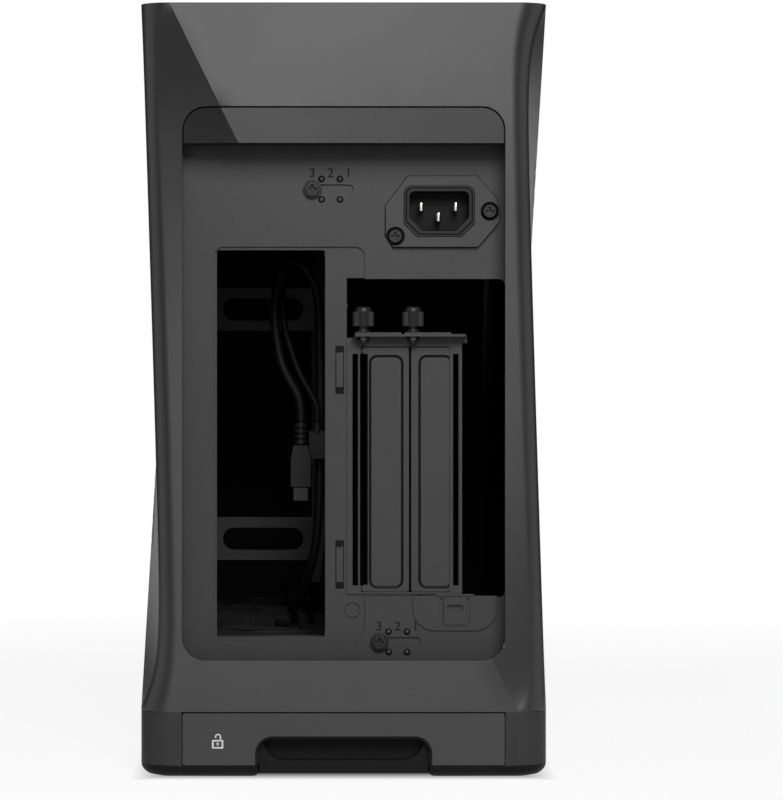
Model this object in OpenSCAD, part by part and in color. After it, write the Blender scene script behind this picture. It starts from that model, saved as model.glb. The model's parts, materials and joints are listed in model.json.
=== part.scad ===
// Compact upright computer case. X runs to the right seen from behind, Y runs from the
// rear (minus) to the front (plus), Z is up and the origin is on the desk under the centre.

/* [Case] */
// Overall width
case_w = 165; // [163:0.5:185]
// Overall depth
case_d = 366; // [362:1:400]
// Overall height
case_h = 314; // [308:1:350]
// Height of the base, up to the bottom edge of the lift-off shell
base_h = 27.1; // [26:0.1:32]
// Thickness of the aluminium shell
wall = 2; // [1.5:0.1:2.6]
// How far each corner of the shell leans in between its ends
lean = 9.8; // [6:0.1:10.5]
// Distance from a corner at which each crease starts
crease_in = 12; // [9:0.5:20]
// Corner radius at the ends of the shell
corner_r = 12; // [10:0.5:14]
// Corner radius half-way up the shell
waist_r = 7.5; // [5:0.5:9]

/* [Rear opening] */
// Distance from the side of the case to the rear opening
opening_in = 17; // [15:0.5:18]
// Height of the shell's wall under the rear opening
sill_h = 20.8; // [15:0.1:22]
// Height of the shell's wall over the rear opening
lintel_h = 41.9; // [38:0.1:44]
// Corner radius of the rear opening
opening_r = 9.5; // [6:0.5:10]
// Height of the trim strip in the top of the rear opening
trim_h = 14.9; // [10:0.1:16]
// Depth of the rear panel behind the back of the case
recess = 22; // [20:0.5:24]

/* [Sheet metal] */
// Thickness of the steel sheets
sheet = 1; // [0.8:0.1:1.2]
// Clearance between sheets that slide on each other
slide_gap = 0.2; // [0.15:0.05:0.4]
// Clearance between the chassis and the shell lifting past it
lift_gap = 0.7; // [0.5:0.1:1.5]
// Seam round a panel let into another
seam = 0.5; // [0.3:0.1:0.8]

/* [Main board side] */
// Width of the connector opening
io_w = 44.45; // [44:0.05:45]
// Height of the connector opening
io_h = 158.75; // [158:0.05:159.5]
// Height of the connector opening above the base
io_rise = 28.5; // [28:0.1:31]
// Distance from the spine to the connector opening
io_off = 7.6; // [7:0.1:9]
// Thickness of the spine plate
spine_t = 1.2; // [1:0.1:1.6]
// Height of the board standoffs
standoff_h = 6.5; // [6:0.1:7]
// Hole distance of the main board along the depth
board_y = 154.94; // [154:0.01:156]
// Hole distance of the main board along the height
board_z = 157.48; // [157:0.01:158]

/* [Card side] */
// Distance between the two card slots
slot_pitch = 20.32; // [20.32:0.01:20.4]
// Width of the slot opening in the rear panel
slot_open_w = 65; // [65:0.5:66]
// Height of the slot opening in the rear panel
slot_open_h = 130.5; // [128:0.5:134]
// Height of the slot opening above the base
slot_rise = 44.9; // [44:0.1:46]
// Height of the card frame up to the top of its shelf
frame_h = 107.9; // [104:0.1:109]
// How far the shelf reaches out behind the frame
shelf_d = 8.5; // [7.5:0.1:9]

/* [Position adjustment] */
// Distance between two neighbouring positions of the spine
step = 7.5; // [5:0.5:7.5]
// Number of positions
positions = 3; // [2:1:3]
// Shank diameter of the position screws
position_d = 3.5; // [3:0.1:3.6]

/* [Base] */
// Wall thickness of the base
base_wall = 3; // [2.5:0.1:4]
// Height of the rubber feet, which carry the floor of the base
foot_h = 4; // [3.5:0.1:5]
// Gap between the rim of the base and the desk
rim_h = 0.4; // [0.2:0.1:1]
// Height of the rounded lower edge of the base
bevel_h = 5.1; // [4:0.1:6]
// How far the lower edge of the base is drawn in
bevel_in = 7; // [4:0.5:8]
// Width of the rim under the base
rim_w = 12; // [11:0.5:13]
// Travel of the release latch
latch_travel = 15; // [10:1:15]

/* [Fans] */
// Side of a fan
fan = 120; // [120:0.5:122]
// Thickness of a fan
fan_t = 25; // [20:1:26]
// Hole distance of a fan
fan_pitch = 105; // [104:0.5:106]
// Number of blades on a rotor
blades = 9; // [7:1:11]

/* [Side vents] */
// Height of the vent window
vent_h = 190; // [170:1:200]
// Length of the vent window
vent_l = 250; // [220:1:260]
// Width of one vent slot
vent_w = 4.4; // [3:0.1:5]
// Distance between neighbouring vent slots
vent_pitch = 9; // [8:0.1:12]
// Rows of vent slots
vent_rows = 3; // [2:1:4]

/* [Hidden] */
$fn = 48;
dark = [0.16, 0.16, 0.17];
steel_dark = [0.2, 0.2, 0.21];
bright = [0.75, 0.75, 0.77];
tiny = 0.01;

half_w = case_w / 2;
half_d = case_d / 2;
// Half sizes of what the leaning shell can lift past
in_w = half_w - wall - lean - lift_gap;
in_d = half_d - wall - lean - lift_gap;
panel_y = recess - half_d;
panel_in = panel_y + sheet;
plate_y0 = panel_in + slide_gap;
plate_in = plate_y0 + sheet;
travel = step * (positions - 1);
opening_w = half_w - opening_in;
opening_z = [base_h + sill_h, case_h - lintel_h];
trim_z = opening_z[1] - trim_h;
floor_top = base_h + sheet;

io_x = [-io_off - io_w, -io_off];
io_z = [base_h + io_rise, base_h + io_rise + io_h];
slot_x = [1.2, 1.2 + slot_open_w];
slot_z = [base_h + slot_rise, base_h + slot_rise + slot_open_h];
window_x = [io_x[0] - 1.2, slot_x[0] + 7.5];
window_z = [io_z[0] - 1.7, io_z[1] + 1.4];
chassis_top = opening_z[1] - 18;
// Centre of the position screws at rest, and the way their slots run
top_screw = [-12.8, io_z[1] + 25];
low_screw = [14.7, window_z[0] - 0.3];

// Helpers for boxes, plates and holes

module block(x, y, z) {
    translate([x[0], y[0], z[0]]) cube([x[1] - x[0], y[1] - y[0], z[1] - z[0]]);
}

// Rounded rectangle from a pair of horizontal and a pair of vertical limits
module rounded(x, z, r) {
    translate([x[0] + r, z[0]]) square([x[1] - x[0] - 2 * r, z[1] - z[0]]);
    translate([x[0], z[0] + r]) square([x[1] - x[0], z[1] - z[0] - 2 * r]);
    for (px = [x[0] + r, x[1] - r], pz = [z[0] + r, z[1] - r])
        translate([px, pz]) circle(r = r);
}

// Outline drawn in X and Z, raised between two Y values
module plate_y(y) {
    translate([0, y[1], 0]) rotate([90, 0, 0]) linear_extrude(y[1] - y[0]) children();
}

// Outline drawn in Y and Z, raised between two X values
module plate_x(x) {
    translate([x[0], 0, 0]) rotate([90, 0, 90]) linear_extrude(x[1] - x[0]) children();
}

// Outline drawn in X and Y, raised between two Z values
module plate_z(z) {
    translate([0, 0, z[0]]) linear_extrude(z[1] - z[0]) children();
}

module rod_y(x, z, r, y) {
    translate([x, y[1], z]) rotate([90, 0, 0]) cylinder(r = r, h = y[1] - y[0]);
}

module rod_x(y, z, r, x) {
    translate([x[0], y, z]) rotate([0, 90, 0]) cylinder(r = r, h = x[1] - x[0]);
}

module rod_z(x, y, r, z) {
    translate([x, y, z[0]]) cylinder(r = r, h = z[1] - z[0]);
}

// The leaning shell. Its corners lean in between the ends, so every side has a slanting crease.

levels = 14;
arc_steps = 4;
function unit(v) = v / norm(v);
function outward(a, b) = let (d = unit(b - a)) [d[1], -d[0]];
function turned(v, a) = [v[0] * cos(a) - v[1] * sin(a), v[0] * sin(a) + v[1] * cos(a)];
function inset(t) = lean * (1 - t) * (1 - exp(-t / 0.04));
function fillet(t) = waist_r + (corner_r - waist_r) * pow(2 * t - 1, 8);
function height(t) = base_h + t * (case_h - base_h);
function crease_x(t) = (half_w - crease_in) * (1 - 2 * t);
function crease_y(t) = (half_d - crease_in) * (2 * t - 1);

// Eight key points, counter-clockwise from the rear crease
function keys(t) = [
    [crease_x(t), -half_d], [half_w - inset(1 - t), inset(t) - half_d],
    [half_w, -crease_y(t)], [half_w - inset(t), half_d - inset(1 - t)],
    [-crease_x(t), half_d], [inset(1 - t) - half_w, half_d - inset(t)],
    [-half_w, crease_y(t)], [inset(t) - half_w, inset(1 - t) - half_d]];

function shrunk(p, w) = [for (i = [0:7])
    let (a = outward(p[(i + 7) % 8], p[i]), b = outward(p[i], p[(i + 1) % 8]))
    p[i] - w * (a + b) / (1 + a * b)];

function arc(a, b, c, r) = let (
    n = outward(a, b),
    bend = acos(min(1, n * outward(b, c))),
    start = b - unit(b - a) * r * tan(bend / 2),
    centre = start - n * r)
    [for (k = [0:arc_steps]) centre + r * turned(n, bend * k / arc_steps)];

// Outline of the shell at a level, moved in by w
function outline(t, w) = let (p = shrunk(keys(t), w)) [for (i = [0:7])
    each i % 2 == 0 ? [p[i]] : arc(p[i - 1], p[i], p[(i + 1) % 8], fillet(t) - w)];

function ring(t, w) = [for (p = outline(t, w)) [p[0], p[1], height(t)]];

function walls(rings, n, first, flip) = [for (i = [0:rings - 2], j = [0:n - 1]) let (
    a = first + i * n + j, b = first + i * n + (j + 1) % n, c = b + n, d = a + n)
    each flip ? [[a, c, d], [a, b, c]] : [[a, d, c], [a, c, b]]];

// Tube of the shell between two insets, over its full height
module skin(w_out, w_in) {
    ts = [for (i = [0:levels]) (1 - cos(180 * i / levels)) / 2];
    n = 4 + 4 * (arc_steps + 1);
    size = n * (levels + 1);
    top = n * levels;
    points = [for (w = [w_out, w_in], t = ts) each ring(t, w)];
    rims = [for (j = [0:n - 1]) let (k = (j + 1) % n) each [
        [j, k, size + k], [j, size + k, size + j],
        [top + j, top + size + k, top + k], [top + j, top + size + j, top + size + k]]];
    polyhedron(points, concat(walls(levels + 1, n, 0, false),
        walls(levels + 1, n, size, true), rims), convexity = 6);
}

// Solid that fills the shell between two heights, moved in by w
module filling(z, w, rings) {
    n = 4 + 4 * (arc_steps + 1);
    t0 = (z[0] - base_h) / (case_h - base_h);
    t1 = (z[1] - base_h) / (case_h - base_h);
    points = [for (i = [0:rings - 1]) each ring(t0 + (t1 - t0) * i / (rings - 1), w)];
    top = n * (rings - 1);
    polyhedron(points, concat(walls(rings, n, 0, false),
        [[for (j = [0:n - 1]) j], [for (j = [n - 1:-1:0]) top + j]]), convexity = 4);
}

vent_z = [(base_h + case_h - vent_h) / 2, (base_h + case_h + vent_h) / 2];
vent_r = 14;

module vent_window(grow, side) {
    plate_x(side > 0 ? [half_w / 2, case_w] : [-case_w, -half_w / 2])
        rounded([-vent_l / 2 - grow, vent_l / 2 + grow], [vent_z[0] - grow, vent_z[1] + grow],
            vent_r + grow);
}

module outer_shell() {
    ledge_z = case_h - board_drop - board_t;
    color(dark) {
        difference() {
            skin(0, wall);
            plate_y([-case_d, 0]) rounded([-opening_w, opening_w], opening_z, opening_r);
            vent_window(0, 1);
            vent_window(0, -1);
        }
        difference() {
            filling([ledge_z - 2, ledge_z], wall / 2, 2);
            filling([ledge_z - 3, ledge_z + 1], wall + ledge_w, 2);
        }
    }
}

// Overlap of the outer and the inner layer of a part that is let into the shell
skin_join = 0.2;

// Strip in the top of the rear opening, with a lip behind the shell and a short shelf
module rear_trim() {
    lip = 1.2;
    shelf = [-half_d, panel_y - 5];
    color(dark) {
        intersection() {
            skin(0, wall + skin_join);
            plate_y([-case_d, 0]) intersection() {
                rounded([seam - opening_w, opening_w - seam],
                    [opening_z[0], opening_z[1] - seam], opening_r - seam);
                translate([-opening_w, trim_z]) square([2 * opening_w, case_h]);
            }
        }
        intersection() {
            skin(wall, wall + lip);
            block([-opening_w - 4, opening_w + 4], [-case_d, 0], [trim_z, opening_z[1] + 6]);
        }
        intersection() {
            filling([trim_z - 2, trim_z + 4], wall / 2, 2);
            block([3 - opening_w, opening_w - 3], shelf, [trim_z, trim_z + 1.5]);
        }
    }
}

// Perforated panel flush in a side window of the shell, with a rim behind the shell
module vent_panel(side) {
    rows_z = (vent_h - 18) / vent_rows;
    slot_h = rows_z - 8;
    count = floor((vent_l - 14) / vent_pitch);
    color(dark) difference() {
        union() {
            intersection() {
                skin(0, wall + skin_join);
                vent_window(-0.3, side);
            }
            intersection() {
                skin(wall, wall + 1);
                vent_window(3, side);
            }
        }
        plate_x(side > 0 ? [half_w / 2, case_w] : [-case_w, -half_w / 2])
            for (i = [0:count - 1], k = [0:vent_rows - 1])
                translate([(i - (count - 1) / 2) * vent_pitch,
                    vent_z[0] + 9 + rows_z * (k + 0.5)])
                    stadium(slot_h, vent_w);
    }
}

// Upright slot with round ends, centred
module stadium(length, width) {
    square([width, length - width], center = true);
    for (s = [-1, 1]) translate([0, s * (length - width) / 2]) circle(d = width);
}

module left_vent_panel() {
    vent_panel(-1);
}

module right_vent_panel() {
    vent_panel(1);
}

board_t = 8;
board_drop = 1;
board_gap = 0.6;
ledge_w = 6;

// Slatted wooden board that lies in the top of the shell
module top_panel() {
    z = [case_h - board_drop - board_t, case_h - board_drop];
    pitch = 12;
    count = floor((case_d - 60) / pitch);
    color([0.42, 0.27, 0.16]) difference() {
        filling(z, wall + board_gap, 3);
        plate_z([z[0] - 1, z[1] + 1]) for (i = [0:count - 1])
            translate([0, (i - (count - 1) / 2) * pitch]) rotate(90)
                stadium(case_w - 50, 5.5);
    }
}

// Base

latch_x = opening_w - 0.2;
base_edge = rim_h + bevel_h;
latch_z = [base_edge, base_h - 0.4];
latch_t = 2.5;
latch_wall_y = latch_t + 3.5 - half_d;
arch_x = 34.8;
arch_top = 16.2;
arch_r = 6;
arm_x = 53;
arm_w = 6;
deck_t = 2.5;
base_r = corner_r + 1;
edge_steps = 6;
intake_x = 58;
intake_y = 121;
floor_z = [foot_h, foot_h + 2.6];
arm_z = [floor_z[1] + 1.4, floor_z[1] + 4.4];
// The scoop's mouth goes through the rim; the lip of the latch stands in it
mouth_y = rim_w + 0.4 - half_d;
lip_z = rim_h + 1.4;
lip_top = base_edge + 1.5;
gap_y = half_d - 53;
filter_lip = 4;

module base_outline(w) {
    rounded([w - half_w, half_w - w], [w - half_d, half_d - w], base_r - w);
}

// Plan of the inside of the base, behind the wall that carries the latch
module base_inside() {
    intersection() {
        base_outline(base_wall);
        translate([-half_w, latch_wall_y + base_wall]) square([case_w, case_d]);
    }
}

port_z = 15;
button_x = 58;
audio_x = 42;
usb_a_x = [26, 9];
usb_c_x = -6;

// Mouth of the scoop in the rim, flaring at its bottom corners
module scoop_mouth() {
    flare = 2.6;
    for (s = [-1, 1]) polygon([[0, rim_h - 1], [s * (arch_x + flare), rim_h - 1],
        [s * (arch_x + flare), rim_h + 0.1], [s * (arch_x + 0.4 * flare), rim_h + 0.5],
        [s * arch_x, lip_z], [s * arch_x, base_edge], [0, base_edge]]);
}

module base_tray() {
    in_z = [floor_z[1], base_h - deck_t];
    latch_cut = latch_x + 0.2;
    color(dark) difference() {
        union() {
            plate_z([base_edge, base_h]) base_outline(0);
            // Rounded lower edge, a quarter of an ellipse in steps
            for (i = [0:edge_steps - 1])
                plate_z([rim_h + bevel_h * i / edge_steps, rim_h + bevel_h * (i + 1) / edge_steps])
                    base_outline(bevel_in
                        * (1 - sqrt(1 - pow(1 - (i + 0.5) / edge_steps, 2))));
        }
        // Under the floor, inside the rim, with a long air gap at each side
        plate_z([rim_h - 1, foot_h]) rounded([rim_w - half_w, half_w - rim_w],
            [rim_w - half_d, half_d - rim_w], 4);
        block([-case_w, case_w], [-gap_y, gap_y], [rim_h - 1, foot_h]);
        plate_z(in_z) base_inside();
        // Air way through the deck, intake in the floor and the seat of the dust filter
        plate_z([in_z[1] - 1, base_h + 1])
            rounded([-intake_x, intake_x], [-intake_y, intake_y], 8);
        plate_z([foot_h - 1, in_z[0] + 1])
            rounded([-intake_x, intake_x], [-intake_y, intake_y], 8);
        plate_z([floor_z[1] - 1.2, in_z[0] + 1])
            rounded([-intake_x - filter_lip, intake_x + filter_lip],
                [-intake_y - filter_lip, intake_y + filter_lip], 8);
        // Seat of the latch in the back
        block([-latch_cut, latch_cut], [-case_d, latch_t + 0.4 - half_d],
            [latch_z[0] - 0.3, base_h + 1]);
        block([-arch_x - 4, arch_x + 4], [-case_d, mouth_y], [latch_z[0] - 0.3, arch_top + 3]);
        plate_y([-case_d, mouth_y]) scoop_mouth();
        for (s = [-1, 1]) block([s * arm_x - arm_w / 2 - 0.3, s * arm_x + arm_w / 2 + 0.3],
            [-case_d, latch_wall_y + base_wall + 1], [arm_z[0] - 0.3, arm_z[1] + 0.3]);
        // Openings for the button and the sockets in the front
        rod_y(button_x, port_z, 5.3, [half_d - 8, half_d + 1]);
        rod_y(audio_x, port_z, 3.6, [half_d - 8, half_d + 1]);
        plate_y([half_d - 8, half_d + 1]) {
            for (x = usb_a_x) translate([x - 6.9, io_pcb_z[1] - 0.3]) square([13.8, 6.8]);
            rounded([usb_c_x - 4.8, usb_c_x + 4.8], [port_z - 1.9, port_z + 1.9], 1.8);
        }
        for (p = floor_screw_at) rod_z(p[0], p[1], 1.5, [in_z[1] - 1, base_h + 1]);
        // Cable way from the socket board up through the deck
        block([-40, -10], [grommet_y - 8, grommet_y + 8], [in_z[1] - 1, base_h + 1]);
    }
    // Rails that the arms of the latch run on
    color(dark) for (s = [-1, 1])
        block([s * arm_x - arm_w / 2, s * arm_x + arm_w / 2],
            [latch_wall_y + base_wall - 1, arm_end - 2], [floor_z[1] - 0.5, arm_z[0] - 0.1]);
}

grommet_y = (intake_y + in_d - 13.5) / 2;
arm_end = latch_wall_y + base_wall + latch_travel + 16;
floor_screw_at = [for (x = [-1, 1], y = [-1, 1]) [x * (intake_x + 6), y * (intake_y + 12)]];

module rubber_feet() {
    color([0.05, 0.05, 0.05]) for (x = [-1, 1], y = [-1, 1])
        translate([x * (half_w - rim_w - 15.5), y * (half_d - rim_w - 17)])
            plate_z([0, foot_h]) rounded([-15, 15], [-16, 16], 4);
}

// Framed mesh that lies in the seat round the intake
module dust_filter() {
    z = [floor_z[1] - 1.2, floor_z[1]];
    reach = filter_lip - 0.4;
    bar = 2;
    cells = [5, 9];
    color([0.1, 0.1, 0.1]) difference() {
        plate_z(z) rounded([-intake_x - reach, intake_x + reach],
            [-intake_y - reach, intake_y + reach], 7.6);
        for (i = [0:cells[0] - 1], j = [0:cells[1] - 1]) let (
            w = 2 * intake_x / cells[0], l = 2 * intake_y / cells[1],
            x = -intake_x + w * i, y = -intake_y + l * j)
            block([x + bar / 2, x + w - bar / 2], [y + bar / 2, y + l - bar / 2],
                [z[0] - 1, z[1] + 1]);
    }
}

// Pull-out latch: face, finger scoop and two arms that run on the rails of the base
module base_latch() {
    y = [-half_d, latch_t - half_d];
    scoop_d = 12;
    lip_y = [y[0] + 5, y[0] + scoop_d - 1];
    color(dark) {
        difference() {
            union() {
                plate_y(y) rounded([-latch_x, latch_x], latch_z, 1);
                // Housing of the scoop behind the face
                block([-arch_x - 2, arch_x + 2], [y[1] - 1, y[0] + scoop_d],
                    [latch_z[0], arch_top + 2]);
            }
            // Finger scoop with its bevelled mouth
            plate_y([y[0] - 1, y[0] + scoop_d - 2])
                rounded([-arch_x, arch_x], [latch_z[0] - 20, arch_top], arch_r);
            plate_y([y[0] - 1, y[0] + 0.8])
                rounded([-arch_x - 1, arch_x + 1], [latch_z[0] - 20, arch_top + 1],
                    arch_r + 1);
        }
        // Curved lower lip inside the scoop, reaching down into the mouth in the rim
        difference() {
            block([-arch_x, arch_x], lip_y, [latch_z[0], arch_top - 2]);
            plate_y([y[0], y[0] + scoop_d])
                rounded([2.1 - arch_x, arch_x - 2.1], [lip_top, arch_top + 9], 9);
        }
        block([0.4 - arch_x, arch_x - 0.4], lip_y, [lip_z, latch_z[0] + tiny]);
        for (s = [-1, 1]) difference() {
            block([s * arm_x - arm_w / 2, s * arm_x + arm_w / 2], [y[1] - 1, arm_end],
                arm_z);
            // Catch notch near the end of the arm
            block([s * arm_x - arm_w, s * arm_x + arm_w], [arm_end - 8, arm_end - 4],
                [arm_z[1] - 1, arm_z[1] + 1]);
        }
    }
}

// Floor and fans

fan_y = fan / 2 + 1;
axle_r = 1.5;

module floor_plate() {
    color(steel_dark) difference() {
        plate_z([base_h, floor_top]) rounded([-in_w, in_w], [-in_d, in_d], 3);
        for (s = [-1, 1]) {
            rod_z(0, s * fan_y, fan / 2 - 3, [base_h - 1, floor_top + 1]);
            for (x = [-1, 1], y = [-1, 1])
                rod_z(x * fan_pitch / 2, s * fan_y + y * fan_pitch / 2, 2.2,
                    [base_h - 1, floor_top + 1]);
        }
        for (p = floor_screw_at) rod_z(p[0], p[1], 1.7, [base_h - 1, floor_top + 1]);
        plate_z([base_h - 1, floor_top + 1])
            rounded([-36, -14], [grommet_y - 5, grommet_y + 5], 4.9);
    }
}

// Screw along Z: a round head above z and a shank below it
module screw_z(x, y, z, head_r, shank_r, reach) {
    rod_z(x, y, head_r, [z, z + 1.6]);
    rod_z(x, y, shank_r, [z - reach, z]);
}

module floor_screws() {
    color(bright) for (p = floor_screw_at) screw_z(p[0], p[1], floor_top, 3, 1.45, 3.2);
}

module fan_frame(y) {
    z = [floor_top, floor_top + fan_t];
    r = fan / 2 - 2.5;
    color([0.12, 0.12, 0.12]) translate([0, y, 0]) difference() {
        union() {
            difference() {
                plate_z(z) rounded([-fan / 2, fan / 2], [-fan / 2, fan / 2], 5);
                rod_z(0, 0, r, [z[0] - 1, z[1] + 1]);
            }
            // Motor plate and its four struts at the bottom
            rod_z(0, 0, 20, [z[0], z[0] + 3]);
            for (a = [45:90:315]) rotate(a)
                block([16, r + 2], [-2, 2], [z[0], z[0] + 3]);
        }
        for (x = [-1, 1], s = [-1, 1]) {
            rod_z(x * fan_pitch / 2, s * fan_pitch / 2, 2.15, [z[0] - 1, z[1] + 1]);
            // Relief between the two flanges at each corner
            rod_z(x * fan_pitch / 2, s * fan_pitch / 2, 4.6, [z[0] + 4, z[1] - 4]);
        }
        rod_z(0, 0, axle_r + 0.05, [z[0] + 1, z[1]]);
    }
}

module fan_frame_rear() {
    fan_frame(-fan_y);
}

module fan_frame_front() {
    fan_frame(fan_y);
}

// One blade as a sheet swept out from the hub, leaning over and widening outwards
module blade(r0, r1, z0, z1) {
    cuts = 4;
    thick = 1.2;
    points = [for (i = [0:cuts]) let (
        r = r0 + (r1 - r0) * i / cuts,
        half = 14 + 5 * i / cuts,
        back = 12 * pow(i / cuts, 2))
        each [for (q = [[-half - back, z0], [half - back, z1], [half - back, z1 - 1.6 * thick],
            [-half - back, z0 - 1.6 * thick]]) let (a = q[0] * 29 / r)
            [r * cos(a), r * sin(a), q[1]]]];
    sides = [for (i = [0:cuts - 1], j = [0:3]) let (
        a = 4 * i + j, b = 4 * i + (j + 1) % 4) each [[a, b, b + 4], [a, b + 4, a + 4]]];
    polyhedron(points, concat(sides, [[0, 2, 1], [0, 3, 2]],
        [[4 * cuts, 4 * cuts + 1, 4 * cuts + 2], [4 * cuts, 4 * cuts + 2, 4 * cuts + 3]]));
}

module fan_rotor(y) {
    z = [floor_top + 4, floor_top + fan_t - 1];
    color([0.14, 0.14, 0.14]) translate([0, y, 0]) {
        difference() {
            rod_z(0, 0, 19.5, z);
            rod_z(0, 0, 17, [z[0] - 1, z[1] - 3]);
        }
        rod_z(0, 0, axle_r, [floor_top + 1.4, z[1] - 2]);
        for (i = [0:blades - 1]) rotate(i * 360 / blades)
            blade(18.6, fan / 2 - 4, z[0] + 2.5, z[1] - 0.5);
    }
}

module fan_rotor_rear() {
    fan_rotor(-fan_y);
}

module fan_rotor_front() {
    fan_rotor(fan_y);
}

module fan_screws() {
    color(bright) for (f = [-fan_y, fan_y], x = [-1, 1], y = [-1, 1])
        translate([x * fan_pitch / 2, f + y * fan_pitch / 2, 0]) {
            rod_z(0, 0, 3.6, [base_h - 1.8, base_h]);
            rod_z(0, 0, 2.1, [base_h - 0.5, floor_top + 3.5]);
        }
}

// Rear panel

bump_r = 1.7;
bump_off = 4.2;

// Slot for a position screw, from its rest place towards plus X
module position_slot(at) {
    w = position_d + 0.4;
    translate([at[0], at[1] - w / 2]) square([travel, w]);
    for (x = [0, travel]) translate([at[0] + x, at[1]]) circle(d = w);
}

module rear_panel() {
    z = [floor_top, opening_z[1]];
    y = [panel_y, panel_in];
    flange = [panel_y - 8, panel_in];
    color(steel_dark) {
        difference() {
            plate_y(y) difference() {
                rounded([-in_w, in_w], z, 2);
                rounded(window_x, window_z, 4);
                rounded(slot_x, slot_z, 2.5);
                position_slot(top_screw);
                position_slot(low_screw);
                inlet_hole();
            }
            for (p = inlet_screw_at) rod_y(p[0], p[1], 1.7, [y[0] - 1, y[1] + 1]);
            for (x = bolt_x) rod_y(x, chassis_top + bolt_rise, 1.7, [y[0] - 1, y[1] + 1]);
        }
        // Pressed bumps that mark the positions between the slots
        for (p = [top_screw, low_screw], i = [0:positions - 2], s = [-1, 1]) intersection() {
            translate([p[0] + step * (i + 0.5), panel_y + 0.9, p[1] + s * bump_off])
                sphere(r = bump_r);
            block([-in_w, in_w], [panel_y - 2, panel_in - 0.2], [base_h, case_h]);
        }
        // Side flanges towards the back and the foot on the floor plate
        for (s = [-1, 1]) block(s > 0 ? [in_w - sheet, in_w] : [-in_w, sheet - in_w],
            flange, [z[0] + 20, z[1] - 8]);
        block([4 - in_w, in_w - 4], [panel_y, panel_y + 12], [z[0], z[0] + sheet]);
    }
}

// Small plate with a lifted tab under the card slots
anchor_x = [28.4, 62.9];
anchor_z = [slot_z[0] - 13.7, slot_z[0] + 0.6];

module anchor_plate() {
    y = [panel_y - sheet, panel_y];
    mid = (anchor_x[0] + anchor_x[1]) / 2;
    tab_z = [anchor_z[0] + 2.4, anchor_z[1] - 0.9];
    color(steel_dark) {
        difference() {
            plate_y(y) intersection() {
                rounded(anchor_x, [anchor_z[0], anchor_z[1] + 30], 9);
                translate([anchor_x[0], anchor_z[0]])
                    square([anchor_x[1] - anchor_x[0], anchor_z[1] - anchor_z[0]]);
            }
            for (s = [-1, 1]) block([mid + s * 5.4 - 0.8, mid + s * 5.4 + 0.8],
                [y[0] - 1, y[1] + 1], [tab_z[0] + 0.6, tab_z[1]]);
            plate_y([y[0] - 2, y[1] + 1]) anchor_hole(mid);
        }
        difference() {
            block([mid - 4.6, mid + 4.6], [y[0] - 0.7, y[0] + 0.1], tab_z);
            plate_y([y[0] - 2, y[1] + 1]) anchor_hole(mid);
        }
        block([mid - 7.8, mid + 7.8], [y[0] - 0.6, y[1]], [anchor_z[1] - 0.1, anchor_z[1] + 0.7]);
    }
}

module anchor_hole(x) {
    rounded([x - 3.4, x + 3.4], [anchor_z[0] + 7.6, anchor_z[0] + 10.6], 1.3);
}

// Mains inlet

inlet = [half_w - 42, chassis_top - 23.9];
inlet_screw_at = [[inlet[0] + 19.4, inlet[1]], [inlet[0] - 19.3, inlet[1] - 10.2]];

module inlet_hole() {
    translate([inlet[0] - 15.6, inlet[1] - 10.5]) square([28.6, 21]);
}

// Outline of the socket, with its lower corners cut off
module inlet_socket(grow) {
    w = 12.4 + grow;
    h = 8.4 + grow;
    cut = 5.4;
    translate([inlet[0] - 1.35, inlet[1]])
        polygon([[-w, h], [-w, cut - h], [cut - w, -h], [w - cut, -h], [w, cut - h], [w, h]]);
}

module inlet_housing() {
    y = [panel_y - 2.6, panel_y];
    flange = [[-23.2, 2.5], [-14.1, 14.4], [14.1, 14.4], [22.4, 5.1], [23.7, 0.2],
        [23, -4.7], [14.6, -14.5], [-20.2, -14.5], [-23.2, -9.9]];
    color([0.09, 0.09, 0.09]) difference() {
        union() {
            plate_y(y) translate(inlet) polygon(flange);
            plate_y([y[0] - 1.2, y[1]]) inlet_socket(1.5);
            plate_y([y[1] - 1, panel_y + 24]) inlet_socket(1.5);
        }
        plate_y([y[0] - 3, y[0] + 16]) inlet_socket(0);
        for (p = inlet_screw_at) {
            rod_y(p[0], p[1], 1.7, [y[0] - 1, y[1] + 1]);
            rod_y(p[0], p[1], 3.6, [y[0] - 1, y[0] + 1.2]);
        }
        for (b = blade_at) block([b[0] - 1, b[0] + 1], [y[0], panel_y + 30],
            [b[1] - 2, b[1] + 2]);
    }
}

blade_at = [for (b = [[-7.1, 2], [7.1, 2], [0, -2.3]])
    [inlet[0] - 1.6 + b[0], inlet[1] + b[1]]];

module inlet_blades() {
    color(bright) for (b = blade_at)
        block([b[0] - 1, b[0] + 1], [panel_y - 1.5, panel_y + 30], [b[1] - 2, b[1] + 2]);
}

// Screw along Y: its head is behind y and its shank runs forwards
module screw_y(x, z, y, head_r, head_h, shank_r, reach) {
    rod_y(x, z, head_r, [y - head_h, y]);
    rod_y(x, z, shank_r, [y - tiny, y + reach]);
}

module inlet_screws() {
    color(dark) for (p = inlet_screw_at)
        screw_y(p[0], p[1], panel_y - 1.4, 3.1, 1.6, 1.6, 6);
}

// Front frame and top bracket

front_y = [in_d - 2.5, in_d - 2.5 + sheet];
bolt_x = [10 - in_w, in_w - 10];
press = 0.5;

// Two fields that are pressed into the sheet to stiffen it
module pressed_panels() {
    rounded([-58.6, -24], [io_z[0] + 57, io_z[0] + 105], 5);
    rounded([-58.6, -29], [io_z[0] + 127, io_z[0] + 164], 5);
}

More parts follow.
